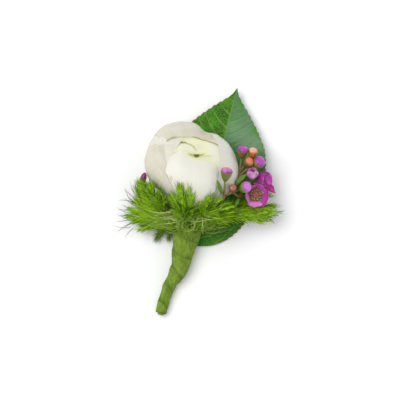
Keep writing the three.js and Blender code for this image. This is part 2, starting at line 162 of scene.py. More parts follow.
def tint(name, description, default):
    """A colour setting."""
    return FloatVectorProperty(
        name=name, description=description, subtype="COLOR", default=default, min=0, max=1)


def scaled_tint(value, share):
    return tuple(c * share for c in value[:3])


# ---------------------------------------------------------------- mesh making

RIPPLE_SIZES = (1.0, 3.0)


def grid_faces(rows, columns, round_rows=False, round_columns=False):
    i = np.arange(rows if round_rows else rows - 1)[:, None]
    j = np.arange(columns if round_columns else columns - 1)[None, :]
    i2, j2 = (i + 1) % rows, (j + 1) % columns
    corners = [i * columns + j, i2 * columns + j, i2 * columns + j2, i * columns + j2]
    return np.stack(np.broadcast_arrays(*corners), -1).reshape(-1, 4)


class Form:
    """One piece in the making: layout points, faces, and numbers painted on the points."""

    def __init__(self, *paints):
        self.paints = paints
        self.points, self.faces, self.values, self.count = [], [], [], 0

    def add(self, points, faces, **paint):
        """Adds a closed body. faces is a list of arrays of three or four corners."""
        points = np.asarray(points, float).reshape(-1, 3)
        turned = self.turned(points, faces)
        self.faces += [f + self.count for f in turned]
        self.points.append(points)
        rows = [np.broadcast_to(np.ravel(paint.get(p, 0.0)), len(points)) for p in self.paints]
        self.values.append(np.array(rows).reshape(len(self.paints), len(points)))
        self.count += len(points)

    @staticmethod
    def turned(points, faces):
        middle = points.mean(0)
        total = 0.0
        for f in faces:
            a = points[f[:, 0]] - middle
            for k in range(1, f.shape[1] - 1):
                b, c = points[f[:, k]] - middle, points[f[:, k + 1]] - middle
                total += np.einsum("ij,ij->", a, np.cross(b, c))
        return faces if total > 0 else [f[:, ::-1] for f in faces]

    def piece(self, name, finish, slot, *nodes):
        mesh = bpy.data.meshes.new(name)
        corners = [row for f in self.faces for row in f.tolist()]
        mesh.from_pydata(in_frame(np.concatenate(self.points)), [], corners)
        for paint, values in zip(self.paints, np.concatenate(self.values, 1)):
            layer = mesh.attributes.new(paint, "FLOAT", "POINT")
            layer.data.foreach_set("value", values.astype(np.float32))
        mesh.shade_smooth()
        mesh.update()
        mesh.materials.append(finish)
        made = bpy.data.objects.new(name, mesh)
        bpy.context.scene.collection.objects.link(made)
        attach(made, "root")
        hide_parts(*nodes)


def sheet_grid(rows, columns):
    """How far along a sheet, 0 to 1, and across it, -1 to 1, each of its points is."""
    return np.meshgrid(np.linspace(0, 1, rows), np.linspace(-1, 1, columns), indexing="ij")


def full_turn(sides):
    return np.linspace(0, 2 * math.pi, sides, endpoint=False)


def round_points(radius, turn, height):
    """Points round +Z. Each measure is one number or an array that the others match."""
    return np.stack(np.broadcast_arrays(
        radius * np.cos(turn), radius * np.sin(turn), height), -1)


def edge_loop(rows, columns):
    """The points round a grid's edge, in order."""
    grid = np.arange(rows * columns).reshape(rows, columns)
    return np.concatenate([grid[0, :-1], grid[:-1, -1], grid[-1, :0:-1], grid[:0:-1, 0]])


def add_shell(form, outer, inner, **paint):
    """Two facing grids of points and the wall round their edge. The inner one is painted under."""
    rows, columns = outer.shape[:2]
    half = rows * columns
    sheet = grid_faces(rows, columns)
    loop = edge_loop(rows, columns)
    after = np.roll(loop, -1)
    wall = np.stack([loop, after, after + half, loop + half], -1)
    both = {k: np.concatenate([np.ravel(v)] * 2) if np.size(v) > 1 else v
            for k, v in paint.items()}
    both["under"] = np.repeat([0.0, 1.0], half)
    points = np.concatenate([outer.reshape(-1, 3), inner.reshape(-1, 3)])
    form.add(points, [sheet, sheet[:, ::-1] + half, wall], **both)


def add_rings(form, rings, **paint):
    """Rings of points joined into one body, closed by a fan at either end."""
    count, sides = rings.shape[:2]
    ends = np.stack([rings[0].mean(0), rings[-1].mean(0)])
    points = np.concatenate([rings.reshape(-1, 3), ends])
    j = np.arange(sides)
    after = (j + 1) % sides
    first = np.stack([np.full(sides, count * sides), j, after], -1)
    base = (count - 1) * sides
    last = np.stack([np.full(sides, count * sides + 1), base + after, base + j], -1)
    spread = {}
    for key, value in paint.items():
        if np.size(value) == 1:
            spread[key] = value
            continue
        value = np.asarray(value, float)
        value = np.repeat(value, sides) if value.ndim == 1 else value.reshape(-1)
        spread[key] = np.concatenate([value, value[:1], value[-1:]])
    form.add(points, [grid_faces(count, sides, round_columns=True), first, last], **spread)


def curve(points, steps):
    """A centripetal Catmull-Rom curve through the points, and its tangents."""
    p = np.asarray(points, float)
    p = np.concatenate([[2 * p[0] - p[1]], p, [2 * p[-1] - p[-2]]])
    at = np.linspace(0, len(p) - 3, steps)
    k = np.minimum(at.astype(int), len(p) - 4)
    t = (at - k)[:, None]
    p0, p1, p2, p3 = p[k], p[k + 1], p[k + 2], p[k + 3]
    d0, d1, d2 = (np.sqrt(np.maximum(np.linalg.norm(b - a, axis=1), 1e-6))[:, None]
                  for a, b in ((p0, p1), (p1, p2), (p2, p3)))
    m1 = ((p1 - p0) / d0 - (p2 - p0) / (d0 + d1) + (p2 - p1) / d1) * d1
    m2 = ((p2 - p1) / d1 - (p3 - p1) / (d1 + d2) + (p3 - p2) / d2) * d1
    a, b = 2 * p1 - 2 * p2 + m1 + m2, -3 * p1 + 3 * p2 - 2 * m1 - m2
    points = ((a * t + b) * t + m1) * t + p1
    return points, unit((3 * a * t + 2 * b) * t + m1)


def carried_frames(tangents, start):
    """Sideways and outward directions that follow a curve without twisting round it."""
    outward = np.asarray(start, float)
    sides, outs = [], []
    for tangent in tangents:
        outward = outward - (outward @ tangent) * tangent
        if np.linalg.norm(outward) < 1e-6:
            outward = np.cross(tangent, (1, 0, 0))
        outward = unit(outward)
        outs.append(outward)
        sides.append(np.cross(outward, tangent))
    return np.array(sides), np.array(outs)


def tube_rings(path, tangents, widths, heights=None, sides=12, start=(0, 0, 1)):
    """Oval rings round a path. widths and heights hold a half measure for each of its points."""
    heights = widths if heights is None else heights
    across, outward = carried_frames(tangents, start)
    turn = full_turn(sides)[:, None]
    wide = across[:, None] * np.cos(turn) * widths[:, None, None]
    tall = outward[:, None] * np.sin(turn) * heights[:, None, None]
    return path[:, None] + (wide + tall)


def add_tube(form, points, widths, sides=12, **paint):
    """A tube along a curve through the points, with as many rings as it is given widths."""
    path, tangents = curve(points, len(widths))
    add_rings(form, tube_rings(path, tangents, widths, sides=sides), **paint)


def ripples(x, y, seed, count=6):
    """A smooth uneven surface of a few crossing waves, about -1 to 1."""
    rng = np.random.default_rng(seed)
    total = 0
    for _ in range(count):
        size, way = rng.uniform(*RIPPLE_SIZES), rng.uniform(0, math.pi)
        phase = rng.uniform(0, 2 * math.pi)
        total = total + np.sin(size * (math.cos(way) * x + math.sin(way) * y) + phase)
    return total / math.sqrt(2 * count)


# ---------------------------------------------------------------- shader writing


class Shade:
    """A socket of a material. Arithmetic on it adds the nodes that work it out."""

    def __init__(self, finish, socket):
        self.finish, self.socket = finish, socket

    def math(self, operation, *values):
        values = dict(enumerate(values))
        return self.finish.node("ShaderNodeMath", {"operation": operation}, values)

    def __add__(self, other):
        return self.math("ADD", self, other)

    def __radd__(self, other):
        return self.math("ADD", other, self)

    def __sub__(self, other):
        return self.math("SUBTRACT", self, other)

    def __rsub__(self, other):
        return self.math("SUBTRACT", other, self)

    def __mul__(self, other):
        return self.math("MULTIPLY", self, other)

    def __rmul__(self, other):
        return self.math("MULTIPLY", other, self)

    def step(self, low, high):
        """0 at low and below, 1 at high and above."""
        return self.finish.node(
            "ShaderNodeMapRange", {"clamp": True, "interpolation_type": "SMOOTHSTEP"},
            {"Value": self, "From Min": low, "From Max": high})

    def mix(self, low, high):
        """The colour low where this is 0 and high where it is 1."""
        return self.finish.node(
            "ShaderNodeMix", {"data_type": "RGBA"}, {0: self, 6: colour(low), 7: colour(high)}, 2)

    def size(self):
        """This number without its sign."""
        return self.math("ABSOLUTE", self)

    def part(self, axis):
        """One of a vector's X, Y and Z."""
        return self.finish.node("ShaderNodeSeparateXYZ", values={0: self}, output=axis)

    def scaled(self, x, y, z):
        """This vector, stretched along each axis."""
        return self.finish.node(
            "ShaderNodeVectorMath", {"operation": "MULTIPLY"}, {0: self, 1: (x, y, z)})


def colour(value):
    return value if isinstance(value, Shade) else (*value[:3], 1.0)


class Finish:
    """A material and its one Principled shader."""

    def __init__(self, name, **fixed):
        self.material = bpy.data.materials.new(name)
        self.material.use_nodes = True
        self.tree = self.material.node_tree
        self.shader = self.tree.nodes["Principled BSDF"]
        for key, value in fixed.items():
            self.shader.inputs[key.replace("_", " ")].default_value = value

    def node(self, kind, settings=(), values=(), output=0):
        """Adds a node, sets it up, then fills or links its inputs. Returns one output."""
        made = self.tree.nodes.new(kind)
        for key, value in dict(settings).items():
            setattr(made, key, value)
        for key, value in dict(values).items():
            if isinstance(value, Shade):
                self.tree.links.new(value.socket, made.inputs[key])
            else:
                made.inputs[key].default_value = value
        return Shade(self, made.outputs[output])

    def painted(self, *names):
        """The numbers painted on the points under these names."""
        return [self.node("ShaderNodeAttribute", {"attribute_name": name}, output="Fac")
                for name in names]

    def place(self):
        return self.node("ShaderNodeTexCoord", output="Object")

    def noise(self, size, detail, stretch=None, **extra):
        """Noise whose blotches are about size millimetres across. stretch scales its place."""
        place = self.place().scaled(*stretch) if stretch else self.place()
        return self.node("ShaderNodeTexNoise", values={
            "Vector": place, "Scale": 1 / (size * MM), "Detail": detail, **extra})

    def cells(self, size, feature):
        """Cells about size millimetres across."""
        return self.node("ShaderNodeTexVoronoi", {"feature": feature}, {
            "Vector": self.place(), "Scale": 1 / (size * MM)})

    def flat_noise(self, x, y, detail=2.0):
        """Noise over two painted numbers."""
        return self.node("ShaderNodeTexNoise", {"noise_dimensions": "2D"}, {
            "Vector": self.node("ShaderNodeCombineXYZ", values={0: x, 1: y, 2: 0.0}),
            "Scale": 1.0, "Detail": detail})

    def link(self, key, value):
        self.tree.links.new(value.socket, self.shader.inputs[key])

    def paint(self, base, *layers):
        """Gives the shader a base colour under layers, each a strength and a colour."""
        for strength, above in layers:
            base = strength.mix(base, above)
        self.link("Base Color", base)

    def bump(self, height, distance, strength):
        self.link("Normal", self.node("ShaderNodeBump", values={
            "Strength": strength, "Distance": distance * MM, "Height": height}))


# ---------------------------------------------------------------- bloom

# name, facing, layer, half width, rim below the mouth, droop of its ends, droop power, creaminess.
# Creaminess darkens a petal: partly its own creamier tint, partly painted shade on the left and top
# petals.
OUTER_PETALS = (
    ("front", 257, 1.0, 35, 10, 12, 12, 0.0),
    ("top", 95, 0.985, 42, 24, 2, 4, 0.6),
    ("left", 204, 0.968, 48, 47, 6, 3, 0.65),
    ("right", 352, 0.974, 58, 33, 22, 3, 0.1),
    ("upper_left", 148, 0.95, 48, 26, 29, 2.5, 0.35),
    ("upper_right", 68, 0.964, 46, 20.8, 12, 5, 0.2),
    ("lower", 282, 0.935, 58, 22, 30, 2.5, 0.3),
)
SECOND_PETALS = (
    ("second_top", 110, 0.922, 28, 12, 9, 4, 0.2),
    ("second_left", 205, 0.936, 46, 20, 24, 2.5, 0.35),
    ("second_right", 340, 0.934, 48, 17, 26, 2.5, 0.05),
    ("inner_left", 200, 0.922, 24, -1, 19, 3, 0.1),
    ("inner_right", 22, 0.928, 38, -1, 24, 3, 0.0),
    ("inner_front", 272, 0.945, 42, 5.2, 27, 5, 0.0),
)
# Degrees by which a petal's rim lies lower for each degree sideways.
RIM_TILTS = {
    "front": 0.1, "top": 0.04, "left": 0.45, "right": -0.08, "upper_right": -0.14,
    "second_top": 0.8,
}
# Where a rim shows a dark green line, partly its own green edge, partly painted shade of the crevice
# under it:
# from and to, as shares of the petal's half width, and strength.
RIM_SHADE_LINES = {
    "top": (0.5, 0.9, 0.9), "upper_right": (-0.66, 0.24, 1.0), "second_top": (0.2, 0.62, 1.0),
    "inner_right": (0.02, 0.28, 0.9), "inner_front": (-0.35, 0.45, 0.35),
    "front": (-0.98, -0.72, 0.35), "second_right": (-0.2, 0.4, 0.25),
}
# Where the front petal's rim stands higher: sideways, spread and height, in degrees.
FRONT_LOBE = (-17, 9, 6.5)
# The front petal's left side is browned between these heights below the mouth, in degrees.
FRONT_SEAM = (44, 61)
# Where that browned side starts, as a share of the petal's half width.
SEAM_EDGE = (-0.88, -0.96)
# How far below the mouth the front petal starts to narrow, ends, and by what share.
FRONT_WAIST = (35, 75, 0.6)
CLOSED_DIP = 1.5
HALO_GREEN, SPECK_BROWN = (0.66, 0.72, 0.16), (0.25, 0.20, 0.11)
PETAL_PAINTS = ("rise", "across", "depth", "mouth", "cream", "bruise", "rim", "under")
# Where the globe swells or is pressed in, seen from above: direction, spread, share.
BLOOM_SWELLS = (
    (125, 30, 0.065), (66, 12, -0.14), (45, 14, -0.03), (-18, 24, 0.05), (228, 30, -0.07),
)
# Points along and across a petal: one of the bloom's own, and one of the young ones in its heart.
PETAL_GRID, YOUNG_GRID = (64, 56), (26, 24)
PETAL_THICKNESS = 0.015
# Share of the layer by which a rim hugs the bloom, and the depth of a rim's waves, in degrees.
PETAL_HUG, YOUNG_HUG = 0.026, 0.02
RUFFLE = 0.8
# Browned places of a petal: sideways, below the mouth, and the spreads down and sideways, in degrees.
BRUISES = {
    "front": ((-24, 47, (6, 2.5)), (-20, 56, (8, 3)), (-16, 50, (4, 1.2))),
    "top": ((-26, 33, (8, 10)), (-22, 36, (5, 8))),
    "left": ((42, 66, (12, 6)),),
}
# Where the rims part over the heart: its middle and the lean of its two arms.
SLIT_MIDDLE = (-1.8, 20.9)
SLIT_LEAN = 0.2
# Its halo, its line of painted shade and its core of painted shadow: where each starts and ends
# fading off the line, and along it.
SLIT_BANDS = (((0.2, 2.4), (2.3, 6.9)), ((0.15, 0.75), (2.07, 4.6)), ((0.45, 1.05), (0.5, 1.8)))
# The seed of the first piece of each kind.
SEEDS = {
    "petals": 3, "heart": 40, "buds": 60, "stamens": 80, "flower_petals": 90, "plumes": 100,
    "awns": 120, "strays": 121, "folded_petals": 130,
}


def swollen(points):
    """The bloom's points moved out or in sideways, as BLOOM_SWELLS sets."""
    offset = points - np.array(BLOOM_CENTRE)
    heading = np.degrees(np.arctan2(offset[..., 1], offset[..., 0]))
    push = 0
    for direction, spread, share in BLOOM_SWELLS:
        off = (heading - direction + 180) % 360 - 180
        push = push + share * np.exp(-(off / spread) ** 2)
    far = np.hypot(offset[..., 0], offset[..., 1]) / BLOOM_RADIUS
    scale = 1 + push * smooth(0.45, 1, far)
    return np.array(BLOOM_CENTRE) + offset * np.stack([scale, scale, np.ones_like(scale)], -1)


def petal_rim(phase, v, name, half_width, rim, droop, power):
    """How far below the mouth a petal ends, in degrees, across its width."""
    edge = rim + droop * np.abs(v) ** power + RIM_TILTS.get(name, 0) * half_width * v
    if name == "front":
        heading, spread, height = FRONT_LOBE
        edge -= height * np.exp(-((half_width * v - heading) / spread) ** 2)
    waves = np.sin(4 * v + phase[0]) + 0.6 * np.sin(9 * v + phase[1])
    return edge + RUFFLE * (waves + 0.25 * np.sin(21 * v + phase[3]))


def petal_bruise(name, u, v, away, sideways):
    """How browned each point of a petal is."""
    bruise = np.zeros_like(u)
    for heading, depth, spread in BRUISES.get(name, ()):
        spot = np.exp(-((away - depth) / spread[0]) ** 2 - ((sideways - heading) / spread[1]) ** 2)
        bruise = np.maximum(bruise, spot * smooth(-0.7, 0.7, ripples(30 * u, 22 * v, 5, 8)))
    if name == "front":
        start, end = FRONT_SEAM
        seam = smooth(start - 3, start + 2, away) * smooth(end + 3, end - 2, away)
        bruise = np.maximum(bruise, smooth(*SEAM_EDGE, v) * seam)
    return bruise


def petal_rim_shade(name, u, v):
    """How strong the dark green line along a petal's rim is at each point: partly the rim's own
    green, partly painted shade of the crevice under it.
    """
    start, end, strength = RIM_SHADE_LINES.get(name, (-1, 1, 0))
    window = smooth(start - 0.08, start + 0.08, v) * smooth(end + 0.08, end - 0.08, v)
    return (smooth(0.97, 0.99, u) + 0.2 * smooth(0.8, 0.97, u)) * window * strength


def add_petal(form, seed, name, facing, layer, half_width, rim, droop, power, cream,
              dip=CLOSED_DIP, hug=PETAL_HUG, grid=PETAL_GRID):
    """One petal of the globe. u runs from its foot to its rim and v across it."""
    rows = 1 - (1 - np.linspace(0, 1, grid[0])) ** 1.6
    u, v = np.meshgrid(rows, np.linspace(-1, 1, grid[1]), indexing="ij")
    phase = np.random.default_rng(seed).uniform(0, 6.28, 4)
    edge = petal_rim(phase, v, name, half_width, rim, droop, power)
    away = PETAL_BASE + (edge - PETAL_BASE) * u ** 0.85
    sideways = half_width * (0.25 + 0.75 * np.sin(1.85 * u ** 0.5)) * v
    if name == "front":
        high, low, share = FRONT_WAIST
        sideways = np.where(v < 0, sideways * (1 - share * smooth(high, low, away)), sideways)
    lift = 0.006 * np.sin(4.5 * v + phase[2]) * smooth(0.2, 0.9, u)
    lift += 0.003 * ripples(6 * u, 9 * v, seed + 50)
    lift += 0.005 * np.sin(away / 3.3 + 2 * v) * smooth(0.5, 0.8, cream) * smooth(48, 58, away)
    tuck = hug * (smooth(0.78, 1, u) + smooth(0.6, 1, np.abs(v)))
    thick = PETAL_THICKNESS * (1 - 0.85 * smooth(0.8, 1, u))
    thick = thick * (1 - 0.7 * smooth(0.75, 1, np.abs(v)))
    faces = [swollen(bloom_point(facing, away, sideways, layer + lift - tuck - skin, dip))
             for skin in (0, thick)]
    add_shell(form, *faces, rise=u, across=v, depth=1 - layer, mouth=away / 90, cream=cream,
              bruise=petal_bruise(name, u, v, away, sideways), rim=petal_rim_shade(name, u, v))


def slit_shade(f, mouth):
    """How near a point is to the line where the petals part over the heart: a wide green halo,
    the line of painted shade, and the painted shadow of the opening in its middle."""
    middle = (np.array([*SLIT_MIDDLE, 0.0]) + ORIGIN) * MM
    x = (f.place().part("X") - float(middle[0])) * (1 / MM)
    y = (f.place().part("Y") - float(middle[1])) * (1 / MM)
    above = 1 - mouth.step(0.24, 0.34)
    off = (y - x.size() * SLIT_LEAN).size()
    return [(1 - off.step(*thickness)) * (1 - x.size().step(*length)) * above
            for thickness, length in SLIT_BANDS]


def petal_finish(settings):
    f = Finish("Ranunculus petal", Roughness=0.55, Subsurface_Weight=0.15, Subsurface_Scale=0.0015,
               Subsurface_Radius=(1.0, 0.95, 0.7), Sheen_Weight=0.05, Specular_IOR_Level=0.35)
    rise, across, depth, mouth, cream, bruise, rim, under = f.painted(*PETAL_PAINTS)
    streaks = f.flat_noise(across * 14, rise * 1.6, 3.0)
    bands = f.flat_noise(mouth * 9, across * 1.3, 2.0)
    blotch = f.noise(9, 3.0)
    near_mouth = (1 - mouth.step(0.14, 0.48)) * (1 - cream * 0.4)
    patchy = f.noise(4, 2.0).step(0.35, 0.65) * 0.5 + 0.5
    halo, line, shadow_core = slit_shade(f, mouth)
    f.paint(
        # Partly painted shade: the cream share darkens the creamier petals, partly their own tint,
        # partly shade on the bloom's left and top.
        (cream + (blotch - 0.5) * 0.35).mix(settings.white, settings.cream),
        # Painted shade: bands parallel to the rims of the creamier petals, darker along their folds
        # and stacked rims.
        (bands.step(0.35, 0.75) * (cream - 0.5) * 1.5, settings.streak_and_fold_shade),
        (streaks.step(0.45, 0.85) * (cream * 0.3 + 0.05), settings.streak_and_fold_shade),
        # Partly painted shade: each petal's lower part is mixed toward a darker green, partly its own
        # greener foot, partly shade low on the bloom near the greens.
        ((1 - rise.step(0.3, 0.82)) * 0.8, settings.shade),
        (near_mouth * patchy * (depth.step(0.0, 0.06) * 0.66 + 0.1), settings.yellow),
        (depth.step(0.11, 0.3), settings.green),
        # Partly painted shade: dark green lines along young rims where they lie over the petals
        # beneath.
        (rim * (blotch * 0.5 + 0.55), settings.line),
        (bruise * blotch.step(0.15, 0.4) * 0.85, settings.bruise),
        # Painted shade and shadow: the line where the petals part, and the dark opening in its
        # middle.
        (halo * 0.5, HALO_GREEN), (line * 0.8, settings.line), (shadow_core * 0.9, settings.slit_shadow),
        ((1 - f.cells(9, "F1").step(0.014, 0.024)) * 0.6, SPECK_BROWN),
        (under * 0.4, settings.yellow))
    f.bump(streaks + blotch * 0.5 + bands * cream, 0.12, 0.25)
    return f.material


class BloomSettings(bpy.types.PropertyGroup):
    """Colours of the ranunculus bloom."""
    white: tint("Petal white", "Open part of the front petal", (0.80, 0.785, 0.69))
    # The cream colour is partly the petals' own creamier tint, partly painted shade on the darker
    # left and top petals.
    cream: tint("Petal cream", "Open part of the creamier petals", (0.57, 0.545, 0.415))
    # The streak colour is the petals' own faint lengthwise streaks and painted shade along folds and
    # stacked rims.
    streak_and_fold_shade: tint("Petal streak", "Beige bands and faint lengthwise streaks", (0.50, 0.43, 0.31))
    # The petal base colour is partly the petals' greener foot, partly painted shade low on the bloom.
    shade: tint("Petal base", "Greener foot of a petal", (0.52, 0.535, 0.32))
    # The rim line colour is partly the young rims' green, partly painted shade in the crevices
    # between them.
    line: tint("Rim line", "Green line along a young rim", (0.33, 0.37, 0.07))
    # The slit colour is painted shadow inside the opening where the petals part.
    slit_shadow: tint("Slit", "Deep green where the petals part", (0.045, 0.075, 0.004))
    yellow: tint("Young petal", "Petals round the mouth", (0.86, 0.87, 0.50))
    green: tint("Heart", "The tight middle", (0.58, 0.66, 0.17))
    bruise: tint("Bruise", "Browned rims and a torn edge", (0.46, 0.37, 0.19))


class BUTTONHOLE_OT_petals(bpy.types.Operator):
    """Make the bloom's outer and inner petals"""
    bl_idname = "buttonhole.petals"
    bl_label = "Petals"

    def execute(self, context):
        finish = petal_finish(context.scene.buttonhole_bloom)
        for slot, group in (("outer_petals", OUTER_PETALS), ("inner_petals", SECOND_PETALS)):
            for seed, (name, *shape) in enumerate(group):
                form = Form(*PETAL_PAINTS)
                add_petal(form, SEEDS["petals"] + seed, name, *shape)
                form.piece(f"ranunculus_{name}", finish, slot, f"petal_{name}")
        return {"FINISHED"}


# The heart's young petals: how many, degrees from one to the next, layer, rim and dip of the
# outermost with how much each changes to the innermost, half width, droop and droop power.
HEART_PETALS = 20
HEART_FACING, HEART_TURN = 70, 137.5
HEART_LAYERS, HEART_RIMS, HEART_DIPS = (0.87, -0.45), (7, -4), (CLOSED_DIP + 0.5, 2.5)
HEART_HALF_WIDTH, HEART_DROOP, HEART_POWER = 44, 24, 3


class BUTTONHOLE_OT_heart(bpy.types.Operator):
    """Make the tight young petals in the middle of the bloom"""
    bl_idname = "buttonhole.heart"
    bl_label = "Heart"

    def execute(self, context):
        form = Form(*PETAL_PAINTS)
        for i in range(HEART_PETALS):
            share = i / (HEART_PETALS - 1)
            layer, rim, dip = (
                first + change * share for first, change in (HEART_LAYERS, HEART_RIMS, HEART_DIPS))
            add_petal(form, SEEDS["heart"] + i, "young", HEART_FACING + HEART_TURN * i, layer,
                      HEART_HALF_WIDTH, rim, HEART_DROOP, HEART_POWER, 0.0,
                      dip=dip, hug=YOUNG_HUG, grid=YOUNG_GRID)
        finish = bpy.data.materials["Ranunculus petal"]
        form.piece("ranunculus_heart", finish, "inner_petals", "heart")
        return {"FINISHED"}


# How far each sepal's tip stands off the bloom, as a share of the bloom's radius.
SEPAL_FLARES = (0.0, 0.02, 0.0, 0.1, 0.05)
SEPAL_FACING = 20
SEPAL_GRID = (28, 18)
SEPAL_WIDTH = 17
SEPAL_SKIN = 0.02


class BUTTONHOLE_OT_sepals(bpy.types.Operator):
    """Make the five thin sepals behind the bloom"""
    bl_idname = "buttonhole.sepals"
    bl_label = "Sepals"

    def execute(self, context):
        finish = green_finish("Sepal", context.scene.buttonhole_greens.sepal, 0.9, 0.6)
        u, v = sheet_grid(*SEPAL_GRID)
        width = SEPAL_WIDTH * np.sin(math.pi * (0.12 + 0.84 * u)) * (1 - 0.25 * u ** 3)
        for i, flare in enumerate(SEPAL_FLARES):
            form = Form("tone", "edge")
            facing = SEPAL_FACING + 360 * i / len(SEPAL_FLARES)
            layer = 1.02 + (0.05 + flare) * u * u + 0.012 * np.sin(3 * v + i) * u - 0.02 * v * v * u
            faces = [swollen(bloom_point(facing, 166 - 40 * u, width * v, layer + skin))
                     for skin in (SEPAL_SKIN, 0)]
            add_shell(form, *faces, tone=0.5 + 0.4 * np.cos(5 * v), edge=np.abs(v) ** 3)
            form.piece(f"sepal_leaf_{i + 1}", finish, "sepals", f"sepal_{i + 1}")
        return {"FINISHED"}


# ---------------------------------------------------------------- greens


class GreensSettings(bpy.types.PropertyGroup):
    """Colours and counts of the leaf, plumes and stems."""
    leaf: tint("Leaf", "Blade of the broad leaf", (0.028, 0.205, 0.007))
    leaf_vein: tint("Leaf vein", "Midrib and side veins", (0.30, 0.46, 0.10))
    leaf_margin: tint("Leaf margin", "Dry edge of the teeth", (0.20, 0.10, 0.035))
    sepal: tint("Sepal", "Thin pale sepals", (0.34, 0.44, 0.26))
    stem: tint("Bloom stem", "Soft stem of the bloom", (0.26, 0.37, 0.09))
    # The plume colour is the bristles' lit green and the plume shade colour their painted shade.
    plume: tint("Plume", "Young feathery bristles", (0.29, 0.52, 0.008))
    plume_shaded: tint("Plume shade", "Older bristles", (0.07, 0.19, 0.004))
    straw: tint("Straw", "Dry bases of the bristles", (0.56, 0.63, 0.22))
    bristles: IntProperty(
        name="Bristles", description="Bristles on a full plume", default=1150, min=20, max=2000)


DRY_EDGE = (0.42, 0.36, 0.20)


def green_finish(name, green, tone_depth, roughness):
    """A soft green skin, paler along its ribs and browner at its edge."""
    f = Finish(name, Roughness=roughness, Subsurface_Weight=0.06, Subsurface_Scale=0.001)
    tone, edge = f.painted("tone", "edge")
    mottle = f.noise(1.6, 3.0)
    f.paint((tone * tone_depth + mottle * 0.5 - 0.2).mix(scaled_tint(green, 0.55), green),
            (edge * 0.5, DRY_EDGE))
    f.bump(mottle, 0.15, 0.4)
    return f.material


LEAF_GRID = (300, 84)
# How high the upper face lies over the table, and the lower one, before either is shaped.
LEAF_TOP, LEAF_UNDER = 0.78, 0.06
LEAF_THINNEST = 0.15
TOOTH_PITCH = 2.3
TOOTH_HEIGHT = 0.8
VEIN_PITCH = 6.4
VEIN_WIDTH = 0.3
OUTLINE_POINTS = 400
# The stalk: its place in the wrap in degrees, its radius there, its half widths and its rings.
PETIOLE_TURN, PETIOLE_RADIUS, PETIOLE_WIDTHS, PETIOLE_RINGS = 322, 0.9, (0.95, 0.6), 24
# Colours of the blade's darker base, partly painted shade; of its ribs; and of the painted reflection
# on its glossy right half.
DEEP_LEAF_AND_SHADE, RIB_GREEN, PAINTED_LEAF_SHEEN = (0.012, 0.15, 0.002), (0.22, 0.42, 0.07), (0.105, 0.225, 0.10)


def leaf_place(along, across, lift):
    """The leaf's point at millimetres back from its tip and out from its midrib."""
    tip = LEAF_TIP_LIFT * np.maximum(0, 1 - along / LEAF_TIP_REACH) ** 2
    base = LEAF_BASE_LIFT * np.maximum(0, 1 - (LEAF_LENGTH - along) / LEAF_BASE_REACH) ** 2
    left = LEAF_LEFT_RISE + LEAF_LEFT_CUP * (1 - smooth(*LEAF_CUP_REACH, along))
    right = LEAF_RIGHT_RISE * (1 - LEAF_FOOT_DROP * smooth(*LEAF_FOOT_REACH, along))
    rise = np.where(across > 0, right, left)
    return np.stack([
        LEAF_TIP[0] + LEAF_HEADING[0] * along - LEAF_HEADING[1] * across,
        LEAF_TIP[1] + LEAF_HEADING[1] * along + LEAF_HEADING[0] * across,
        tip + base + rise * np.abs(across) + lift,
    ], -1)


def leaf_half_width(along):
    """Half width along the leaf, rounded through the places that set it."""
    path, _ = curve(LEAF_HALF_WIDTHS, OUTLINE_POINTS)
    return np.interp(along, path[:, 0], path[:, 1])


def tooth(along):
    """Teeth that point to the tip: out quickly, back slowly."""
    share = along / TOOTH_PITCH % 1
    size = smooth(1, 7, along) * (1 - smooth(70, 76, along))
    return TOOTH_HEIGHT * size * (smooth(0, 0.22, share) - share)


def side_veins(along, across):
    """Distance from the nearest side vein, and where on the midrib a vein through here meets it."""
    away = np.abs(across)
    meets = along + 0.35 * away + 0.045 * away * away + np.where(across > 0, 0.45 * VEIN_PITCH, 0)
    off = np.abs((meets / VEIN_PITCH + 0.5) % 1 - 0.5) * VEIN_PITCH
    return off, meets


LEAF_PAINTS = ("rib", "vein", "edge", "side", "gloss")


class BUTTONHOLE_OT_leaf(bpy.types.Operator):
    """Make the broad toothed leaf and its stalk"""
    bl_idname = "buttonhole.leaf"
    bl_label = "Leaf"

    def execute(self, context):
        form = Form(*LEAF_PAINTS)
        add_blade(form)
        add_petiole(form)
        form.piece("leaf_blade", leaf_finish(context.scene.buttonhole_greens), "leaf", "leaf")
        return {"FINISHED"}


def add_blade(form):
    """The leaf's blade: its halves rise from the midrib, pillowed between veins and toothed."""
    u, v = sheet_grid(*LEAF_GRID)
    v = np.sign(v) * np.abs(v) ** 0.9
    out = np.abs(v)
    along = LEAF_LENGTH * u
    half = leaf_half_width(along)
    across = half * v + np.sign(v) * tooth(along + 0.8 * np.sign(v)) * out ** 6
    off, meets = side_veins(along, across)
    rib = np.exp(-(across / (0.35 + 0.45 * u)) ** 2)
    vein = np.exp(-(off / VEIN_WIDTH) ** 2) * (1 - 0.5 * out) * smooth(1, 6, half)
    pillow = 0.16 * np.sin(math.pi * np.clip(off / VEIN_PITCH * 2, 0, 1))
    pillow *= smooth(0, 3, np.abs(across))
    pillow *= (1 - smooth(0.82, 1, out)) * np.where(across > 0, 0.22, 0.9)
    wave = 0.3 * np.sin(meets / 3.7) * out ** 3 * np.where(across > 0, 0.7, 0.4)
    lift = pillow + np.maximum(wave, -0.2) - 0.1 * vein - 0.16 * rib
    top = leaf_place(along, across, LEAF_TOP + lift)
    under = leaf_place(along, across, LEAF_UNDER + lift * 0.8 + 0.25 * out ** 4)
    under[..., 2] -= 0.5 * rib * smooth(0, 8, half) * (across > -9)
    under[..., 2] = np.clip(under[..., 2], 0.0, top[..., 2] - LEAF_THINNEST)
    add_shell(form, top, under, rib=rib, vein=vein, edge=out, side=v,
              gloss=1 - smooth(*LEAF_GLOSS_REACH, along))


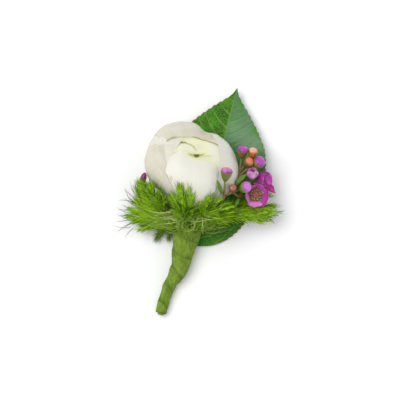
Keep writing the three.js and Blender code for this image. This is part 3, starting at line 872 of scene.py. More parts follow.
def add_petiole(form):
    """The leaf's stalk, from inside the wrap to a little way up the midrib."""
    x, y = np.array(LEAF_TIP) + np.array(LEAF_HEADING) * LEAF_LENGTH
    z = LEAF_BASE_LIFT
    points = [bundle_point(PETIOLE_TURN, BUNDLE_FOOT, PETIOLE_RADIUS), (x - 1.4, y - 0.9, z + 1.7),
              (x + 0.4, y + 1.4, z + 0.7), (x + 1.5, y + 5.8, z + 0.35)]
    add_tube(form, points, np.linspace(*PETIOLE_WIDTHS, PETIOLE_RINGS), rib=0.6)


def leaf_finish(settings):
    f = Finish("Leaf", Coat_Roughness=0.22, Subsurface_Weight=0.04, Subsurface_Scale=0.001,
               Specular_IOR_Level=0.12)
    rib, vein, edge, side, gloss = f.painted(*LEAF_PAINTS)
    net = f.cells(1.1, "DISTANCE_TO_EDGE")
    mottle, fine = f.noise(7, 4.0, Roughness=0.6), f.noise(0.7, 3.0)
    warm = (settings.leaf[0] * 2.2, settings.leaf[1] * 1.3, settings.leaf[2])
    left = 1 - side.step(-0.05, 0.05) * gloss
    matt = mottle.step(0.46, 0.6) * edge.step(0.5, 0.9)
    # Painted reflection: on the glossy right half the colour is paled to a grey-green sheen; the same
    # mask also sets the real coat.
    coat_and_painted_sheen = gloss * (1 - left) * (1 - vein * 0.6) * (1 - matt * 0.9)
    coat_and_painted_sheen = coat_and_painted_sheen * (1 - fine.step(0.5, 0.8) * 0.2)
    rim = edge.step(0.945, 1.0) * fine.step(0.3, 0.55) * (left * 0.8 + 0.2)
    f.paint(
        mottle.step(0.3, 0.72).mix(scaled_tint(settings.leaf, 0.5), warm),
        # Partly the blade's deeper green, partly painted shade: darker towards the base, where it
        # lies under the plumes and the wrap.
        ((1 - gloss) * 0.75, DEEP_LEAF_AND_SHADE),
        ((1 - net.step(0.0, 0.14)) * (left * 0.28 + 0.05), settings.leaf_vein),
        (vein * (left * 0.62 + 0.08), settings.leaf_vein),
        (rib * (gloss * 0.3 + 0.3), RIB_GREEN),
        # Painted reflection of the lights on the glossy right half.
        (coat_and_painted_sheen * 0.72, PAINTED_LEAF_SHEEN),
        (rim, settings.leaf_margin))
    f.link("Coat Weight", coat_and_painted_sheen * 0.3 + gloss * 0.06)
    f.link("Roughness", fine * 0.16 + 0.3 + rim * 0.3)
    f.bump(net.step(0.0, 0.12) + fine * 0.4, 0.12, 0.5)
    return f.material


def bundle_point(turn, station, radius):
    """Where a stem lies inside the wrap, in layout millimetres."""
    x, y, z, width, height = TAPE_STATIONS[station]
    following = TAPE_STATIONS[station + 1]
    along = unit([x - following[0], y - following[1], 0])
    side = np.array([along[1], -along[0], 0])
    inset = TAPE_WALL + BUNDLE_GAP + radius
    angle = math.radians(turn)
    centre = np.array([x, y, z + (height - inset) * math.sin(angle)])
    return centre + side * (width - inset) * math.cos(angle)


def bundle_stem(turn, radius):
    """The run of a stem inside the wrap, out to just past its top."""
    path = [bundle_point(turn, s, radius) for s in (BUNDLE_FOOT, BUNDLE_FOOT - 1, BUNDLE_TOP)]
    return path + [path[-1] + (path[-1] - path[-2]) * BUNDLE_CLEARANCE]


# Plumes: place in the bundle in degrees, spine, half width, half height, which way they face, share
# of the bristles, spikes that the plume fans into, and how far the outer ones swing, in degrees.
PLUMES = (
    ("left_upper", 138, ((-12.9, -6.4, 17.4), (-20.2, -3, 24), (-24.6, 3.5, 29), (-26, 9.8, 31.5)),
     4.8, 1.9, (-0.6, -0.5, 0.6), 1.5, 11, 40),
    ("left_lower", 200, ((-13.5, -9, 10.9), (-22, -7.6, 10.8), (-29, -5, 8), (-35, -2.5, 5.5)),
     4.6, 2.4, (0, 0, 1), 1.2, 7, 36),
    ("centre", 110, ((-6.6, -8, 16.5), (-7.2, -7, 27), (-8.4, -2.2, 35), (-7, 8.8, 39.2)),
     5.6, 1.5, (0, -0.8, 0.6), 1.4, 8, 23),
    ("right_upper", 80, ((-3, -8.5, 15.5), (1.5, -6.2, 25), (7, -2.4, 30), (12.5, 1.2, 31)),
     3.6, 1.4, (0.1, -0.6, 0.75), 1.3, 10, 44),
    ("right_long", 20, ((2.8, -9.8, 12), (12, -6.4, 15.5), (24, -5.2, 14.5), (38, -5, 12)),
     3.6, 1.8, (0, -0.1, 1), 1.3, 9, 11),
    ("right_lower", 296, ((3, -8, 7.5), (12, -4.5, 9.3), (24, -1, 10), (37.5, 1.8, 11)),
     2.8, 1.2, (-0.25, 0, 1), 0.9, 4, 17),
    ("tape_side", 230,
     ((-10.6, -9.4, 4.6), (-15.2, -11, 3.9), (-18.4, -13.4, 3.4), (-20.8, -17, 3)),
     2, 1.2, (0, 0, 1), 0.4, 3, 24),
)
PLUME_PAINTS = ("along", "tone", "straw", "awn")
PLUME_STEM = (0.55, 0.25)
# Points of a plume's spine and of a spike, and rings of its stem, a stalk at its foot and a stray.
SPINE_POINTS, SPIKE_POINTS, STEM_RINGS, COLLAR_RINGS, STRAY_RINGS = 80, 40, 48, 10, 12
BRISTLE_RINGS = 5
BRISTLE_SIDES = 3
# No bristle lies lower than this over the table, or further into the bloom than this layer.
BRISTLE_FLOOR = 0.5
BLOOM_SKIN = 1.035
# Shares of the spine between which its spikes leave it.
SPIKE_START = (0.2, 0.5)
# How much shorter the spikes are on one side of a plume, where they are.
SLUMPS = {"centre": 0.42}
# Only a plume that starts higher than this has dry stalks round its foot.
LOW_SPINE = 9
AWNS, AWN_FAN = 19, 100
STRAYS = 60
TIP_OLIVE, AWN_BROWN = (0.10, 0.15, 0.015), (0.05, 0.05, 0.03)


def outside_bloom(points):
    """The points, with any inside the bloom brought out to lie on its petals."""
    offset = points - np.array(BLOOM_CENTRE)
    local = offset @ BASIS.T / (BLOOM_RADIUS * BLOOM_BREADTH, BLOOM_RADIUS, BLOOM_DEPTH)
    layer = np.linalg.norm(local, axis=-1, keepdims=True)
    return np.array(BLOOM_CENTRE) + offset * np.maximum(1, BLOOM_SKIN / np.maximum(layer, 0.3))


def add_bristle(form, rng, root, way, outward, length, width, tone, straw=0.0, awn=0.0, bend=0.2):
    """One thin tapering bristle that sets off along way and curls outward."""
    t = np.linspace(0, 1, BRISTLE_RINGS)[:, None]
    curl = outward * rng.uniform(-0.5, 1.4) * bend + rng.normal(0, 0.06, 3)
    path = outside_bloom(root + length * (way * t + curl * t ** 2.2))
    path[:, 2] = np.maximum(path[:, 2], BRISTLE_FLOOR)
    tangents = unit(np.gradient(path, axis=0))
    taper = width * (1 - 0.92 * t[:, 0] ** 2.2)
    rings = tube_rings(path, tangents, taper, taper * 0.55, BRISTLE_SIDES, outward)
    add_rings(form, rings, along=t[:, 0], tone=tone, straw=straw, awn=awn)


def turned_about(vector, axis, angle):
    """The vector turned round an axis by an angle in radians."""
    axis = unit(axis)
    vector = np.asarray(vector, float)
    return (vector * math.cos(angle) + np.cross(axis, vector) * math.sin(angle)
            + axis * (axis @ vector) * (1 - math.cos(angle)))


def spike_path(rng, path, facing, swing, spread, slump):
    """One spike of the fan: leaves the spine part way up and ends on the fan's rounded outline."""
    low, high = SPIKE_START
    at = int((low + (high - low) * rng.uniform()) * (len(path) - 1))
    base, tip = path[at], path[-1]
    angle = math.radians(spread * swing)
    share = 1 - 0.3 * swing ** 2 - slump * max(0, -swing)
    reach = turned_about(tip - base, facing, angle) * share * rng.uniform(0.88, 1.0)
    way = turned_about(path[min(at + 12, len(path) - 1)] - base, facing, angle * 0.6)
    middle = base + unit(way) * np.linalg.norm(reach) * 0.45
    return curve([base, (middle + base + reach * 0.45) / 2, base + reach], SPIKE_POINTS)


def add_plume(form, seed, count, turn, spine, half_width, half_height, facing, spikes, spread,
              slump):
    """One plume: the bristles of its spikes, its stem, and the dry stalks round its foot."""
    rng = np.random.default_rng(seed)
    stem = bundle_stem(turn, PLUME_STEM[0])
    path, _ = curve([stem[-1], *spine], SPINE_POINTS)
    facing = unit(facing)
    for spike in range(spikes):
        swing = 2 * spike / (spikes - 1) - 1 + rng.uniform(-0.1, 0.1)
        line, ways = spike_path(rng, path, facing, swing, spread, slump)
        size = half_width * (0.72 - 0.1 * abs(swing))
        for _ in range(count // spikes):
            add_spike_bristle(form, rng, line, ways, facing, size, half_height * 0.7)
    add_tube(form, [*stem, *spine[:3]], np.linspace(*PLUME_STEM, STEM_RINGS), 8, tone=0.2, along=0.2)
    if spine[0][2] > LOW_SPINE:
        add_collar(form, rng, count // 7, stem[-1], spine)


def add_spike_bristle(form, rng, line, ways, facing, size, height):
    """A bristle of one spike: its root is nearer the tip the further it stands off the middle."""
    u = 0.02 + 0.94 * rng.uniform(0, 1)
    at = int(u * (len(line) - 1))
    across = unit(np.cross(facing, ways[at]))
    out = np.cross(ways[at], across)
    angle = rng.uniform(0, 2 * math.pi)
    radial = across * math.cos(angle) + out * math.sin(angle)
    full = math.sin(math.pi * min(1, 0.25 + 0.75 * u)) ** 0.7
    stand = across * math.cos(angle) * size + out * math.sin(angle) * height
    root = line[at] + stand * full * rng.uniform(0, 0.6)
    lean = math.radians(rng.uniform(2, 38) * (1 - 0.4 * u))
    way = ways[at] * math.cos(lean) + radial * math.sin(lean)
    reach = rng.uniform(3.8, 7.6) * (1 - 0.35 * u)
    # Painted light: a bristle on the spike's upper side gets a higher tone, and one near the table a
    # lower one.
    light = (0.37 + 0.34 * math.sin(angle) + rng.normal(0, 0.26)) * smooth(0, 9, root[2])
    dry = rng.uniform(0.5, 1) if rng.uniform() < 0.1 * (1.3 - u) else 0.0
    add_bristle(form, rng, root, way, radial, reach, rng.uniform(0.15, 0.28), light, dry)


def add_collar(form, rng, count, start, spine):
    """Long dry stalks that leave the wrap with the plume and arch over its edge."""
    for _ in range(count):
        root = start + rng.normal(0, 1, 3) * (2.2, 1.2, 1.2)
        goal = np.array(spine[1], float) * rng.uniform(0.5, 1.0) + root * 0.2
        goal = goal + rng.normal(0, 1, 3) * (2.5, 2.2, 1.5)
        middle = (root + goal) / 2 + rng.normal(0, 0.8, 3)
        middle = middle + (0, -rng.uniform(0, 2.5), rng.uniform(0, 2.5))
        path, tangents = curve([root, middle, goal], COLLAR_RINGS)
        path[:, 2] = np.maximum(path[:, 2], BRISTLE_FLOOR)
        widths = rng.uniform(0.18, 0.3) * (1 - 0.8 * np.linspace(0, 1, COLLAR_RINGS) ** 2)
        rings = tube_rings(path, tangents, widths, widths * 0.6, BRISTLE_SIDES)
        add_rings(form, rings, along=np.linspace(0, 0.9, COLLAR_RINGS), tone=rng.uniform(0, 1),
                  straw=rng.uniform(0, 0.5))


def add_awns(form, rng, spine, facing):
    """Long dark thread-like tips that stand out all round a plume's fan and curl to one side."""
    end, pivot = np.array(spine[-1], float), np.array(spine[1], float)
    way, radius = unit(end - pivot), np.linalg.norm(end - pivot)
    for i in range(AWNS):
        angle = math.radians(AWN_FAN * i / (AWNS - 1) - AWN_FAN / 2 + rng.uniform(-4, 4))
        heading = turned_about(way, facing, angle)
        root = pivot + heading * radius * rng.uniform(0.8, 0.98)
        bend = turned_about(heading, facing, -1.3)
        add_bristle(form, rng, root, turned_about(heading, facing, rng.uniform(0, 0.35)), bend,
                    rng.uniform(5.5, 8), rng.uniform(0.24, 0.32), 0.1, awn=rng.uniform(0.8, 1),
                    bend=0.55)


def add_strays(form, rng):
    """Dry stalks lying across the foot of the plumes, most of them out to either side."""
    for i in range(STRAYS):
        root = np.array([rng.uniform(-15, 3), rng.uniform(-9.5, -3), rng.uniform(21, 26)])
        down = i % 5 == 0
        swing = (rng.uniform(-2.1, -1.2) if down
                 else rng.choice((0, math.pi)) + rng.uniform(-0.3, 0.3))
        reach = rng.uniform(4, 8) if down else rng.uniform(7, 14)
        goal = root + (reach * math.cos(swing), reach * math.sin(swing), -rng.uniform(1, 5))
        middle = (root + goal) / 2 + rng.normal(0, 0.8, 3) + (0, 0, 1.4)
        path = outside_bloom(curve([root, middle, goal], STRAY_RINGS)[0])
        widths = rng.uniform(0.2, 0.34) * (1 - 0.8 * np.linspace(0, 1, STRAY_RINGS) ** 2)
        tangents = unit(np.gradient(path, axis=0))
        rings = tube_rings(path, tangents, widths, widths * 0.7, BRISTLE_SIDES)
        add_rings(form, rings, along=np.linspace(0, 0.7, STRAY_RINGS), tone=rng.uniform(0.2, 0.9),
                  straw=rng.uniform(0.45, 1.1))


def plume_finish(settings):
    f = Finish("Plume bristle", Roughness=0.65, Specular_IOR_Level=0.15)
    along, tone, straw, awn = f.painted(*PLUME_PAINTS)
    f.paint(
        # Painted light and shade: low tones take the shaded green, high ones the lit green, and the
        # highest a painted highlight.
        tone.step(0.1, 0.6).mix(settings.plume_shaded, settings.plume),
        (tone.step(0.6, 1.0) * 0.85, scaled_tint(settings.plume, 1.7)),
        ((1 - along.step(0.0, 0.3)) * 0.25 + straw * 0.85, settings.straw),
        (along.step(0.75, 1.0) * 0.4, TIP_OLIVE),
        (awn, AWN_BROWN))
    f.bump(f.noise(0.5, 2.0), 0.05, 0.4)
    return f.material


class BUTTONHOLE_OT_plumes(bpy.types.Operator):
    """Make the feathery green plumes"""
    bl_idname = "buttonhole.plumes"
    bl_label = "Plumes"

    def execute(self, context):
        settings = context.scene.buttonhole_greens
        finish = plume_finish(settings)
        for seed, (name, turn, spine, width, height, facing, share, *fan) in enumerate(PLUMES):
            form = Form(*PLUME_PAINTS)
            count = int(settings.bristles * share)
            add_plume(form, SEEDS["plumes"] + seed, count, turn, spine, width, height, facing, *fan,
                      SLUMPS.get(name, 0))
            if name == "left_lower":
                add_awns(form, np.random.default_rng(SEEDS["awns"]), spine, facing)
            if name == "centre":
                add_strays(form, np.random.default_rng(SEEDS["strays"]))
            form.piece(f"feather_{name}", finish, "plumes", f"plume_{name}")
        return {"FINISHED"}


# ---------------------------------------------------------------- stem and tape


class TapeSettings(bpy.types.PropertyGroup):
    """The floral tape's winding and colours."""
    colour: tint("Tape", "Waxed crepe paper", (0.125, 0.21, 0.016))
    pale: tint("Stretched tape", "Where the crepe is pulled thin", (0.19, 0.295, 0.032))
    pitch: FloatProperty(
        name="Winding", description="Distance from one turn to the next",
        default=8.5 * MM, min=3 * MM, max=20 * MM, unit="LENGTH")


# Radius and place along the bloom's axis of the swelling that holds its petals.
RECEPTACLE = ((0, -13.9), (4, -14.1), (4.9, -15.4), (4.3, -16.8), (1.9, -18.2), (0, -18.6))
STALK_RINGS = 160


class BUTTONHOLE_OT_stem(bpy.types.Operator):
    """Make the bloom's receptacle and stem"""
    bl_idname = "buttonhole.stem"
    bl_label = "Bloom stem"

    def execute(self, context):
        finish = green_finish("Bloom stem", context.scene.buttonhole_greens.stem, 0.7, 0.55)
        form = Form("tone", "edge")
        outline, _ = curve(RECEPTACLE, 30)
        local = round_points(np.maximum(outline[:, :1], 0.01), full_turn(40), outline[:, 1:])
        add_rings(form, np.array(BLOOM_CENTRE) + local @ BASIS, tone=0.6)
        centres = np.array(TAPE_STATIONS)[:, :3]
        end = centres[-1] + unit(centres[-1] - centres[-2]) * STEM_OVERHANG
        widths = BLOOM_STEM_RADIUS * (1 + 0.03 * np.sin(np.linspace(0, 30, STALK_RINGS)))
        add_tube(form, [*BLOOM_STEM_BEND, *centres, end], widths, 18, tone=0.5,
                 edge=smooth(0.985, 1, np.linspace(0, 1, STALK_RINGS)))
        form.piece("bloom_stalk", finish, "flower_stem", "bloom_stem")
        return {"FINISHED"}


TAPE_ROWS, TAPE_SIDES = 280, 88
# How far one turn stands over the last, and the thickness of the wound tape.
TAPE_STEP, TAPE_SKIN = 0.34, 0.55
# How much the winding wanders round the stems, in turns.
TAPE_WANDER = 0.06
TABLE_CLEARANCE = 0.03
CUT_BROWN = (0.10, 0.065, 0.025)
TAPE_PAINTS = ("step", "rim", "flow")


class BUTTONHOLE_OT_tape(bpy.types.Operator):
    """Wind the crepe tape round the stems"""
    bl_idname = "buttonhole.tape"
    bl_label = "Floral tape"

    def execute(self, context):
        settings = context.scene.buttonhole_tape
        stations = np.array(TAPE_STATIONS, float)
        path, tangents = curve(stations[:, :3], TAPE_ROWS)
        sizes, _ = curve(stations[:, 3:], TAPE_ROWS)
        side = np.cross((0, 0, 1), unit(tangents * (1, 1, 0)))
        strides = np.linalg.norm(np.diff(path, axis=0), axis=1)
        far = np.concatenate([[0], np.cumsum(strides)])[:, None]
        turn = full_turn(TAPE_SIDES)[None]
        wander = TAPE_WANDER * np.sin(2 * turn + far / 9)
        share = (far / (settings.pitch / MM) + turn / (2 * math.pi) + wander) % 1
        step = smooth(0, 0.045, share) * (1 - 0.75 * share)
        skin = TAPE_STEP * step + tape_creases(far, turn)
        skin *= smooth(-1.0, 3.0, far)
        outer, inner = (
            tape_sleeve(path, side, turn, *(sizes.T[..., None] + skin - depth))
            for depth in (0, TAPE_SKIN))
        paints = (share, smooth(far[-1] - 0.9, far[-1], far) * np.ones_like(turn),
                  np.exp(-((share - 0.03) / 0.035) ** 2))
        form = Form(*TAPE_PAINTS)
        faces = grid_faces(2 * TAPE_ROWS, TAPE_SIDES, round_rows=True, round_columns=True)
        form.add(np.concatenate([outer, inner[::-1]]), [faces], **{
            name: np.concatenate([value, value[::-1]]) for name, value in zip(TAPE_PAINTS, paints)})
        form.piece("crepe_tape", tape_finish(settings), "floral_tape", "floral_tape")
        return {"FINISHED"}


def tape_creases(far, turn):
    """How far the crepe stands off where it is pulled and folded round the stems."""
    long_folds = ripples(far * 0.35, 3 * np.cos(turn - far / 7), 7, 8) * 0.16
    return long_folds + ripples(far * 1.3 + 4 * np.sin(turn), 2.5 * np.cos(turn), 8, 8) * 0.07


def tape_sleeve(path, side, turn, width, height):
    """Rings of one face of the wrap, which lies flat where it meets the table."""
    rings = path[:, None] + side[:, None] * (np.cos(turn) * width)[..., None]
    rings[..., 2] = np.maximum(rings[..., 2] + np.sin(turn) * height, TABLE_CLEARANCE)
    return rings


def tape_finish(settings):
    f = Finish("Crepe tape", Roughness=0.7, Specular_IOR_Level=0.2)
    step, rim, flow = f.painted(*TAPE_PAINTS)
    crepe = f.noise(0.8, 3.0, (1, 0.28, 1))
    creases = f.noise(1.5, 4.0, (1, 0.4, 0.6), Distortion=0.8)
    dark = scaled_tint(settings.colour, 0.5)
    f.paint(
        f.noise(5, 3.0).step(0.3, 0.7).mix(settings.colour, settings.pale),
        # Painted shade and highlight: darker and paler streaks along the crease pattern that also
        # sets the bump.
        (creases.step(0.5, 0.66) * 0.45, dark),
        ((1 - creases.step(0.34, 0.48)) * 0.42, scaled_tint(settings.pale, 1.5)),
        # Painted shade: the tape darkens beside the raised edge of the next turn.
        (step.step(0.7, 1.0) * 0.5, dark),
        (flow * 0.35, settings.pale),
        (crepe.step(0.5, 0.75) * 0.3, dark),
        (rim * 0.85, CUT_BROWN))
    f.bump(crepe + creases, 0.35, 0.8)
    return f.material


# ---------------------------------------------------------------- wax flower


class WaxSettings(bpy.types.PropertyGroup):
    """Colours of the wax flower sprigs."""
    petal: tint("Petal", "Deep part of an open petal", (0.46, 0.03, 0.40))
    petal_pale: tint("Petal edge", "Pale edge of an open petal", (0.78, 0.26, 0.66))
    cup: tint("Cup", "Outside of a flower's cup", (0.16, 0.20, 0.02))
    cup_inside: tint("Cup inside", "Waxy floor of an open cup", (0.52, 0.16, 0.07))
    bark: tint("Twig", "Woody part of a twig", (0.15, 0.085, 0.03))
    twig_green: tint("Twig tips", "Young end of a twig", (0.26, 0.24, 0.07))
    needle: tint("Needle leaf", "Narrow leaves of the sprig", (0.14, 0.28, 0.016))


OLIVE, RUST, BROWN = (0.22, 0.19, 0.03), (0.40, 0.13, 0.03), (0.17, 0.10, 0.02)

# name, foot, direction, cap width, length, cap's middle and rim, cup. The lighter middle and darker
# rim are partly the cap's own colour, partly painted highlight and shade.
BUDS = (
    ("upper_left", (19.2, 20, 19.2), (0.1, 0.82, 0.5), 5.3, 6.3,
     (0.44, 0.05, 0.46), (0.13, 0.015, 0.14), BROWN),
    ("peach", (24, 19.7, 18.4), (0.1, 0.8, 0.5), 4.3, 5.8,
     (0.80, 0.42, 0.28), (0.60, 0.24, 0.10), RUST),
    ("salmon", (20.3, 16.7, 18.7), (0.55, 0.45, 0.7), 4.5, 5.5,
     (0.70, 0.20, 0.10), (0.40, 0.12, 0.05), BROWN),
    ("upper_right", (24.7, 16.7, 17.6), (0.62, 0.42, 0.66), 5.8, 5.9,
     (0.43, 0.055, 0.47), (0.22, 0.03, 0.22), OLIVE),
    ("tall", (11.2, 9.1, 32.2), (0.14, 0.86, 0.49), 5.4, 7.3,
     (0.62, 0.16, 0.48), (0.16, 0.02, 0.20), (0.12, 0.15, 0.008)),
    ("small", (14.4, 5, 26.4), (0.1, 0.4, 0.85), 3.7, 4.2,
     (0.38, 0.12, 0.09), (0.20, 0.08, 0.03), BROWN),
    ("lilac", (17.8, 5.5, 20.9), (0.68, 0.26, 0.68), 5.4, 6.5,
     (0.62, 0.17, 0.64), (0.40, 0.07, 0.42), (0.20, 0.30, 0.03)),
    ("left", (-27.6, 7, 25.4), (0.28, 0.9, 0.25), 3.1, 6.8,
     (0.24, 0.006, 0.12), (0.15, 0.004, 0.07), (0.42, 0.06, 0.16)),
)
# A bud's cup: shares of its radius and of its length.
BUD_CUP = ((0.2, 0), (0.4, 0.12), (0.66, 0.3), (0.88, 0.5), (0.97, 0.66), (1, 0.75),
           (0.93, 0.79), (0.8, 0.76))
BUD_SIDES, BUD_RINGS = 50, 34
# Rings of a bud's cup that rise into the lobes of its rim.
RIM_RINGS = 10
CAP_GRID = (16, 14)
BUD_PAINTS = ("cap", "dome", "tone")
# Where a bud's cup ends, as a share of its length, where it isn't the usual one.
CUP_SHARES = {"left": 0.42}
CUP_SHARE = 0.74
# How high a bud's dome of petals stands, as a share of the cup's radius.
DOMES = {"upper_left": 0.66, "tall": 0.62, "upper_right": 0.74, "left": 2.63}
DOME = 0.85


def aim(direction):
    """Rows that turn +Z to a direction by the shortest way."""
    quaternion = Vector((0, 0, 1)).rotation_difference(Vector(direction).normalized())
    return np.array(quaternion.to_matrix()).T


def placed(local, foot, direction):
    return np.asarray(local, float) @ aim(direction) + np.array(foot, float)


def lathe_rings(profile, sides, rows, shape=None):
    """Rings of a shape turned from radii and heights. shape(turn, share) scales the radii."""
    outline, _ = curve(profile, rows)
    turn = full_turn(sides)[None]
    radius = np.maximum(outline[:, :1], 0.02)
    if shape is not None:
        radius = radius * shape(turn, np.linspace(0, 1, rows)[:, None])
    return round_points(radius, turn, outline[:, 1:])


def bud_ribs(turn, share):
    return 1 + 0.035 * share * np.cos(10 * turn) + 0.02 * np.cos(5 * turn + 1)


def add_bud(form, seed, foot, direction, width, length, share, dome):
    """A ribbed cup whose lobed rim holds five petals folded over each other into a dome."""
    r, cup_length = width / 2, length * share / CUP_SHARE
    rng = np.random.default_rng(seed)
    spin = rng.uniform(0, 2 * math.pi)
    rings = lathe_rings(np.array(BUD_CUP) * (r, cup_length), BUD_SIDES, BUD_RINGS, bud_ribs)
    lobe = np.maximum(0, np.cos(2.5 * full_turn(BUD_SIDES) + spin)) ** 2
    rings[-RIM_RINGS:, :, 2] += 0.05 * cup_length * lobe * np.linspace(0, 1, RIM_RINGS)[:, None]
    add_rings(form, placed(rings, foot, direction), dome=np.linspace(0, 1, BUD_RINGS), tone=0.5)
    u, v = sheet_grid(*CAP_GRID)
    polar = 0.5 * math.pi * (1 - u) * 0.98 + 0.02
    shell = r * (1 + 0.035 * v + 0.03 * np.cos(3 * v)) * (0.93 + 0.1 * np.sin(math.pi * u))
    rise = share * length + dome * r * np.cos(polar)
    for i in range(5):
        angle = spin + 2 * math.pi * i / 5 + 0.95 * v * (1 - 0.25 * u) + 0.35 * u
        outer = round_points(shell * np.sin(polar), angle, rise)
        inner = outer * (0.92, 0.92, 1) - (0, 0, 0.08 * r)
        add_shell(form, placed(outer, foot, direction), placed(inner, foot, direction),
                  cap=1, dome=u, tone=rng.uniform(0, 1) + 0.3 * v)


def wax_finish(name, middle, rim, cup):
    f = Finish(name, Roughness=0.38, Coat_Weight=0.25, Coat_Roughness=0.25,
               Subsurface_Weight=0.1, Subsurface_Scale=0.0006)
    cap, dome, tone = f.painted(*BUD_PAINTS)
    grain = f.noise(0.6, 3.0)
    # Partly painted light: the cap is lighter toward its middle, as painted highlight, and darker
    # toward its rim, as painted shade.
    domed = (dome.step(0.05, 0.75) + (tone - 0.5) * 0.35).mix(rim, middle)
    brown = tuple(c * s for c, s in zip(cup, (1.5, 0.7, 0.7)))
    f.paint((dome.step(0.45, 0.95) * 0.7 + (grain - 0.5) * 0.8).mix(cup, brown), (cap, domed))
    f.bump(grain, 0.06, 0.4)
    return f.material


class BUTTONHOLE_OT_buds(bpy.types.Operator):
    """Make the wax flower buds"""
    bl_idname = "buttonhole.buds"
    bl_label = "Buds"

    def execute(self, context):
        for seed, (name, foot, direction, width, length, *colours) in enumerate(BUDS):
            form = Form(*BUD_PAINTS)
            add_bud(form, SEEDS["buds"] + seed, foot, direction, width, length,
                    CUP_SHARES.get(name, CUP_SHARE), DOMES.get(name, DOME))
            form.piece(f"waxbud_{name}", wax_finish(f"Bud {name}", *colours), "buds", f"bud_{name}")
        return {"FINISHED"}


# name, foot, direction, cup's radius and height, length and splay of a petal, first one's turn
FLOWERS = (
    ("open", (26.3, 3.5, 13.2), (-0.12, -0.1, 1), 3.3, 3, 4.6, 0.55, -20),
    ("side", (26.9, 8.7, 9.8), (0.5, 0.25, 0.8), 2.1, 2.6, 4.7, 0.5, -42),
)
# How the petals differ, in order: length, width, splay and tone, each beside the flower's own.
PETAL_SHAPES = {
    "open": ((1.12, 1.2, 0.1, -0.3), (1.08, 1.15, 0.0, 0.15), (0.95, 1.0, -0.18, 0.6),
             (0.9, 1.0, -0.3, 0.95), (1.04, 1.05, 0.02, 1.1)),
    "side": ((1.5, 0.42, 0.42, -0.75), (1.05, 1.05, 0.0, 0.1), (0.95, 1.1, -0.25, 0.35),
             (0.9, 1.15, -0.62, 0.05), (0.95, 1.0, -0.4, -0.3)),
}
PETAL_WIDTH, PETAL_SKIN = 0.7, 0.13
FLOWER_PETAL_GRID = (26, 24)
FLOWER_PETAL_PAINTS = ("along", "across", "tone", "under")
# The folded flower: foot, direction, cup's radius and height, petals' foot, length and splay.
FOLDED_FLOWER = ((23.8, 9.9, 15.7), (0.1, 0.72, 0.68), 2.0, 2.79, 2.728, 3.4, -0.2)
CUP_GRID = (60, 70)
CUP_PAINTS = ("inside", "tone", "stamen")
# A flower's cup, outside to sunken floor: shares of its radius and of its height.
CUP = ((0.14, 0), (0.34, 0.08), (0.62, 0.28), (0.86, 0.58), (1, 0.95), (0.97, 1.04), (0.86, 1),
       (0.78, 0.8), (0.6, 0.62), (0.3, 0.58), (0.05, 0.6))
STAMENS = 10
# Rings of a stamen's thread and of its anther, and of the style.
THREAD_RINGS, ANTHER_RINGS, STYLE_RINGS = 8, 8, 16
# Where the outer and the inner stamens end: share of the cup's radius, height over its rim, tone.
STAMEN_ENDS = ((0.66, 0.42, 1.0), (0.5, 0.62, 0.0))
STAMEN_WIDTHS = (0.12, 0.07)
ANTHER = ((0.02, -0.2), (0.17, -0.1), (0.2, 0), (0.16, 0.12), (0.02, 0.2))
# The style: radius and share of the cup's height.
STYLE = ((0.1, 0.55), (0.14, 0.8), (0.11, 1.1), (0.24, 1.22), (0.02, 1.3))
CUP_RED, THREAD_DARK, THREAD_PALE = (0.30, 0.12, 0.04), (0.05, 0.02, 0.02), (0.72, 0.50, 0.36)
DEEP_PINK, STREAK_PINK, EDGE_PINK = (0.42, 0.008, 0.22), (0.82, 0.58, 0.78), (0.86, 0.52, 0.78)


def cup_ribs(turn, share):
    return 1 + 0.03 * np.cos(10 * turn) * np.sin(math.pi * share)


def add_cup(form, foot, direction, radius, height):
    """A ribbed cup with a sunken floor."""
    sides, rows = CUP_GRID
    rings = lathe_rings(np.array(CUP) * (radius, height), sides, rows, cup_ribs)
    share = np.linspace(0, 1, rows)
    inside = 0.5 * smooth(0.5, 0.62, share) + 0.5 * smooth(0.72, 0.86, share)
    add_rings(form, placed(rings, foot, direction), inside=inside)


def turned_flat(x, y, z, angle):
    """Points turned about +Z by an angle in radians."""
    sine, cosine = math.sin(angle), math.cos(angle)
    return np.stack(np.broadcast_arrays(x * cosine - y * sine, x * sine + y * cosine, z), -1)


def add_stamens(form, rng, foot, direction, radius, height):
    """Stamens that lean in over the cup from its rim, each with its anther, and the style."""
    rim = 0.96 * height
    for i in range(2 * STAMENS):
        angle = math.pi * i / STAMENS + rng.normal(0, 0.06)
        top, lift, tone = STAMEN_ENDS[i % 2]
        points = [(0.84 * radius, 0, rim), (0.80 * radius, 0, rim + 0.5 * lift),
                  (top * radius, 0, rim + lift)]
        path, tangents = (turned_flat(*line.T, angle) for line in curve(points, THREAD_RINGS))
        rings = tube_rings(path, tangents, np.linspace(*STAMEN_WIDTHS, THREAD_RINGS), sides=6)
        add_rings(form, placed(rings, foot, direction), stamen=1, tone=0.9)
        ball = path[-1] + lathe_rings(np.array(ANTHER) * rng.uniform(1.0, 1.7), 10, ANTHER_RINGS)
        add_rings(form, placed(ball, foot, direction), stamen=1, tone=tone)
    style = lathe_rings(np.array(STYLE) * (1, height), 10, STYLE_RINGS)
    add_rings(form, placed(style, foot, direction), stamen=1, tone=0.7)


